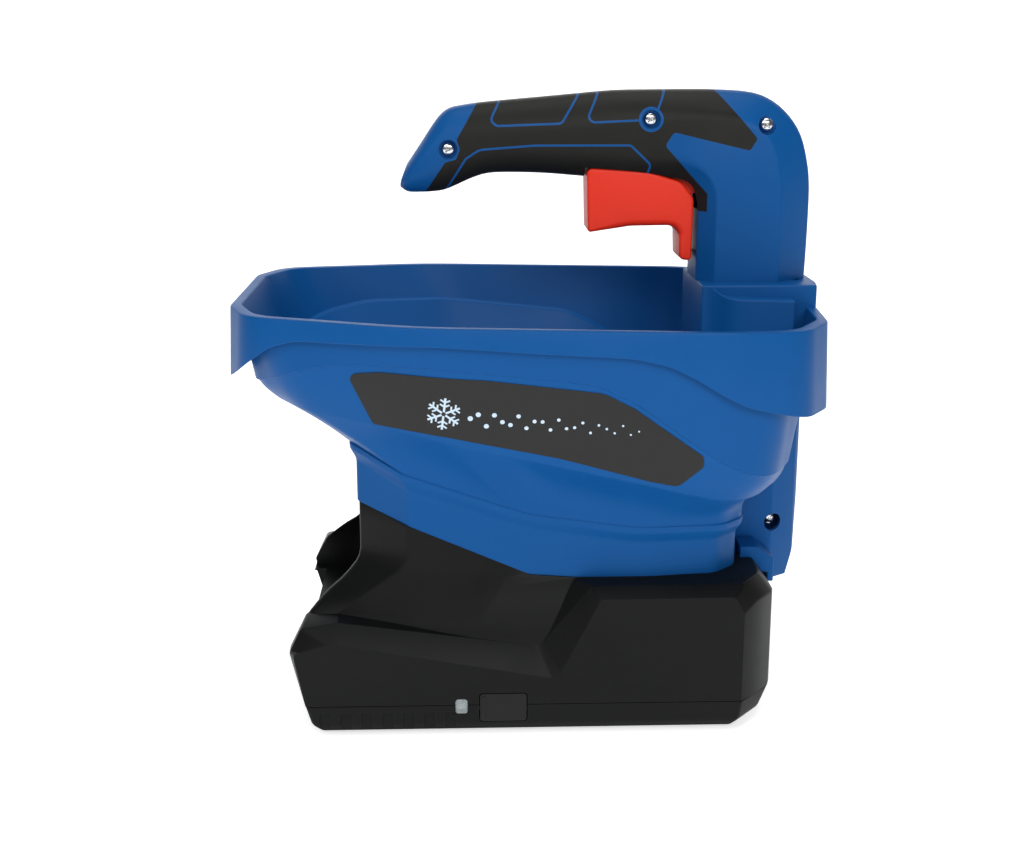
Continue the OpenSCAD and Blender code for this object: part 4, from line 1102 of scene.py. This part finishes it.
def base_cover():
    keys = [(level_ring(COVER_FOOT, 3.0), 0), (level_ring(COVER_LOW, 6.2), 2.0),
            (level_ring(COVER_TOP, SEAM_Z - 0.5), 0.5), (level_ring(inset(COVER_TOP, 0.5), SEAM_Z - 0.15), 0)]
    cover = loft("base_cover_moulding", soft_profile(keys))
    room = prism_z("room", level_ring(inset(COVER_LOW, 4.0), 0), 5.6, 40)
    add(cover, prism_z("lip", level_ring(inset(COVER_TOP, 1.3), 0), 12, SEAM_Z + 2))
    cut(cover, room)
    for side in (-1, 1):
        for i in range(RIB_COUNT):
            x = RIB_START + i * RIB_PITCH
            y0, y1 = sorted((side * 90, side * RIB_FLOOR))
            shape = outline([(x, -5, 0), (x + RIB_GAP, -5, 0), (x + RIB_GAP, 12.6, 1.2), (x, 12.6, 1.2)], 4)
            cut(cover, prism_y("gap", shape, y0, y1))
    cut_windows(cover)
    return place(cover, "frame", ["base_cover"], BLACK, angle=26)


def charge_flap():
    x0, x1, z0, z1 = FLAP_LOW.x, FLAP_HIGH.x, FLAP_LOW.z, FLAP_HIGH.z
    front = FLAP_LOW.y
    plate = prism_y("charge_flap_moulding", rounded_box(x0, x1, z0, z1, 1.4), front, front + 1.7)
    soften(plate, 0.35, 2)
    grip = rounded_box(x0 + 0.8, x0 + 2.8, z0 + 1.2, z1 - 1.2, 0.8, 4)
    strip = prism_y("strip", grip, front - 0.5, front + 1)
    soften(strip, 0.25, 2)
    add(plate, strip)
    socket = middle_mm("charge_socket")
    end = rounded_box(socket.x - 3.6, socket.x + 3.6, socket.z - 0.8, socket.z + 0.8, 0.7, 4)
    add(plate, prism_y("plug", end, front + 1, FLAP_HIGH.y))
    return place(plate, "flap", ["charge_flap"], RUBBER, angle=30)


def led_lens():
    shape = rounded_box(LENS_LOW.x, LENS_HIGH.x, LENS_LOW.z, LENS_HIGH.z, 1.5, 6)
    body = prism_y("led_lens_moulding", shape, LENS_LOW.y, LENS_HIGH.y)
    soften(body, 0.4, 3)
    return place(body, "frame", ["led_lens"], CLEAR, angle=40)


# ---------------------------------------------------------------- build

hopper()
SIDES = ((-1, "left"), (1, "right"))
skins = [label("hopper_label_%s_skin" % word, side, "hopper_label_" + word) for side, word in SIDES]
for (side, word), skin in zip(SIDES, skins):
    emblem("snowflake_" + word, side, surface_tree(skin))
for side, word in SIDES:
    handle_side(side, word)
handle_screws()
trigger()
trigger_spring()
base_housing()
base_cover()
charge_flap()
led_lens()

LOOKS = {
    STEEL: ["trigger_pivot_pin", "bell_crank_pin", "push_rod", "spinner_shaft", "motor_shaft",
            "trigger_spring"],
    ZINC: ["base_screws", "hopper_screws", "motor_screws", "handle_screws", "spine_screw"],
    DARK: ["micro_switch", "spinner_disc", "agitator", "battery_holder"],
    SWITCH_RED: ["switch_plunger"],
    NYLON: ["bell_crank", "shutter", "shutter_guide", "drive_gear"],
    BRASS: ["motor_pinion", "deck_bush", "shaft_foot_bush"],
    CAN: ["motor", "charge_socket", "gearbox_plate"],
    WRAP: ["battery_cell_1", "battery_cell_2"],
    BOARD: ["control_board"],
    LED: ["status_led"],
    WIRE: ["motor_wires", "battery_wires", "switch_wires"],
    RUBBER: ["shaft_seal", "charge_flap", *("rubber_foot_%d" % i for i in range(1, 5))],
    BLUE: ["hopper", "handle_shell_left", "handle_shell_right"],
    LABEL: ["hopper_label_left", "hopper_label_right"],
    BLACK: ["base_housing", "base_cover"],
    SOFT: ["grip_overmould_left", "grip_overmould_right"],
    RED: ["trigger"],
    CLEAR: ["led_lens"],
}

for look, names in LOOKS.items():
    for name in names:
        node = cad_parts[name]
        node.data.materials.clear()
        node.data.materials.append(look)


# ---------------------------------------------------------------- studio

def aim(obj, position, target):
    obj.location = position
    obj.rotation_euler = (Vector(target) - Vector(position)).to_track_quat("-Z", "Y").to_euler()
    return obj


def soft_light(name, position, target, size, watts):
    data = bpy.data.lights.new(name, "AREA")
    data.shape = "RECTANGLE"
    data.size, data.size_y = size
    data.energy = watts
    return aim(scene_object(name, data), position, target)


def paper(name, colour, roughness):
    look = Look(name)
    fibres = look.noise(900.0, 4.0)
    light = [min(c * 1.01, 1.0) for c in colour]
    return look.finish(Base_Color=look.mixed(fibres, colour, light), Emission_Strength=0.62,
                       Roughness=look.span(fibres, roughness - 0.03, roughness + 0.03),
                       Emission_Color=(1, 1, 1))


def sweep_backdrop():
    """A white sheet of studio paper that curves up behind the object."""
    front, back, rise, r, half = -2.2, 1.6, 2.4, 0.6, 2.6
    path = [(front, 0.0), (back - r, 0.0)]
    path += [(back - r + r * math.sin(a), r - r * math.cos(a)) for a in
             [math.pi / 2 * k / 16 for k in range(1, 17)]]
    path.append((back, rise))
    points = [(x * half / MM, y / MM, z / MM) for y, z in path for x in (-1, 1)]
    faces = [(2 * i, 2 * i + 1, 2 * i + 3, 2 * i + 2) for i in range(len(path) - 1)]
    obj = new_object("studio_paper", points, faces)
    obj.data.materials.append(paper("studio_white", (0.92, 0.92, 0.92), 0.85))
    obj.data.shade_smooth()


sweep_backdrop()
soft_light("key", (-0.7, -1.4, 1.3), (0, 0, 0.12), (1.2, 0.9), 9)
soft_light("front", (0.35, -1.6, 0.85), (0.03, 0, 0.2), (0.8, 0.5), 10)
soft_light("top", (0.1, -0.1, 1.8), (0, 0, 0.1), (1.4, 1.1), 13.5)

world = bpy.data.worlds.new("studio_air")
bpy.context.scene.world = world
world.use_nodes = True
air = world.node_tree.nodes["Background"].inputs
air["Color"].default_value = (1, 1, 1, 1)
air["Strength"].default_value = 0.1

camera_data = bpy.data.cameras.new("camera")
camera_data.lens = 51.1
camera_data.clip_start = 0.05
camera_data.clip_end = 20
camera = aim(scene_object("camera", camera_data), (-0.0297, -0.7293, 0.3227), (-0.00475, 0, 0.133))
bpy.context.scene.camera = camera
bpy.context.scene.view_settings.view_transform = "Standard"
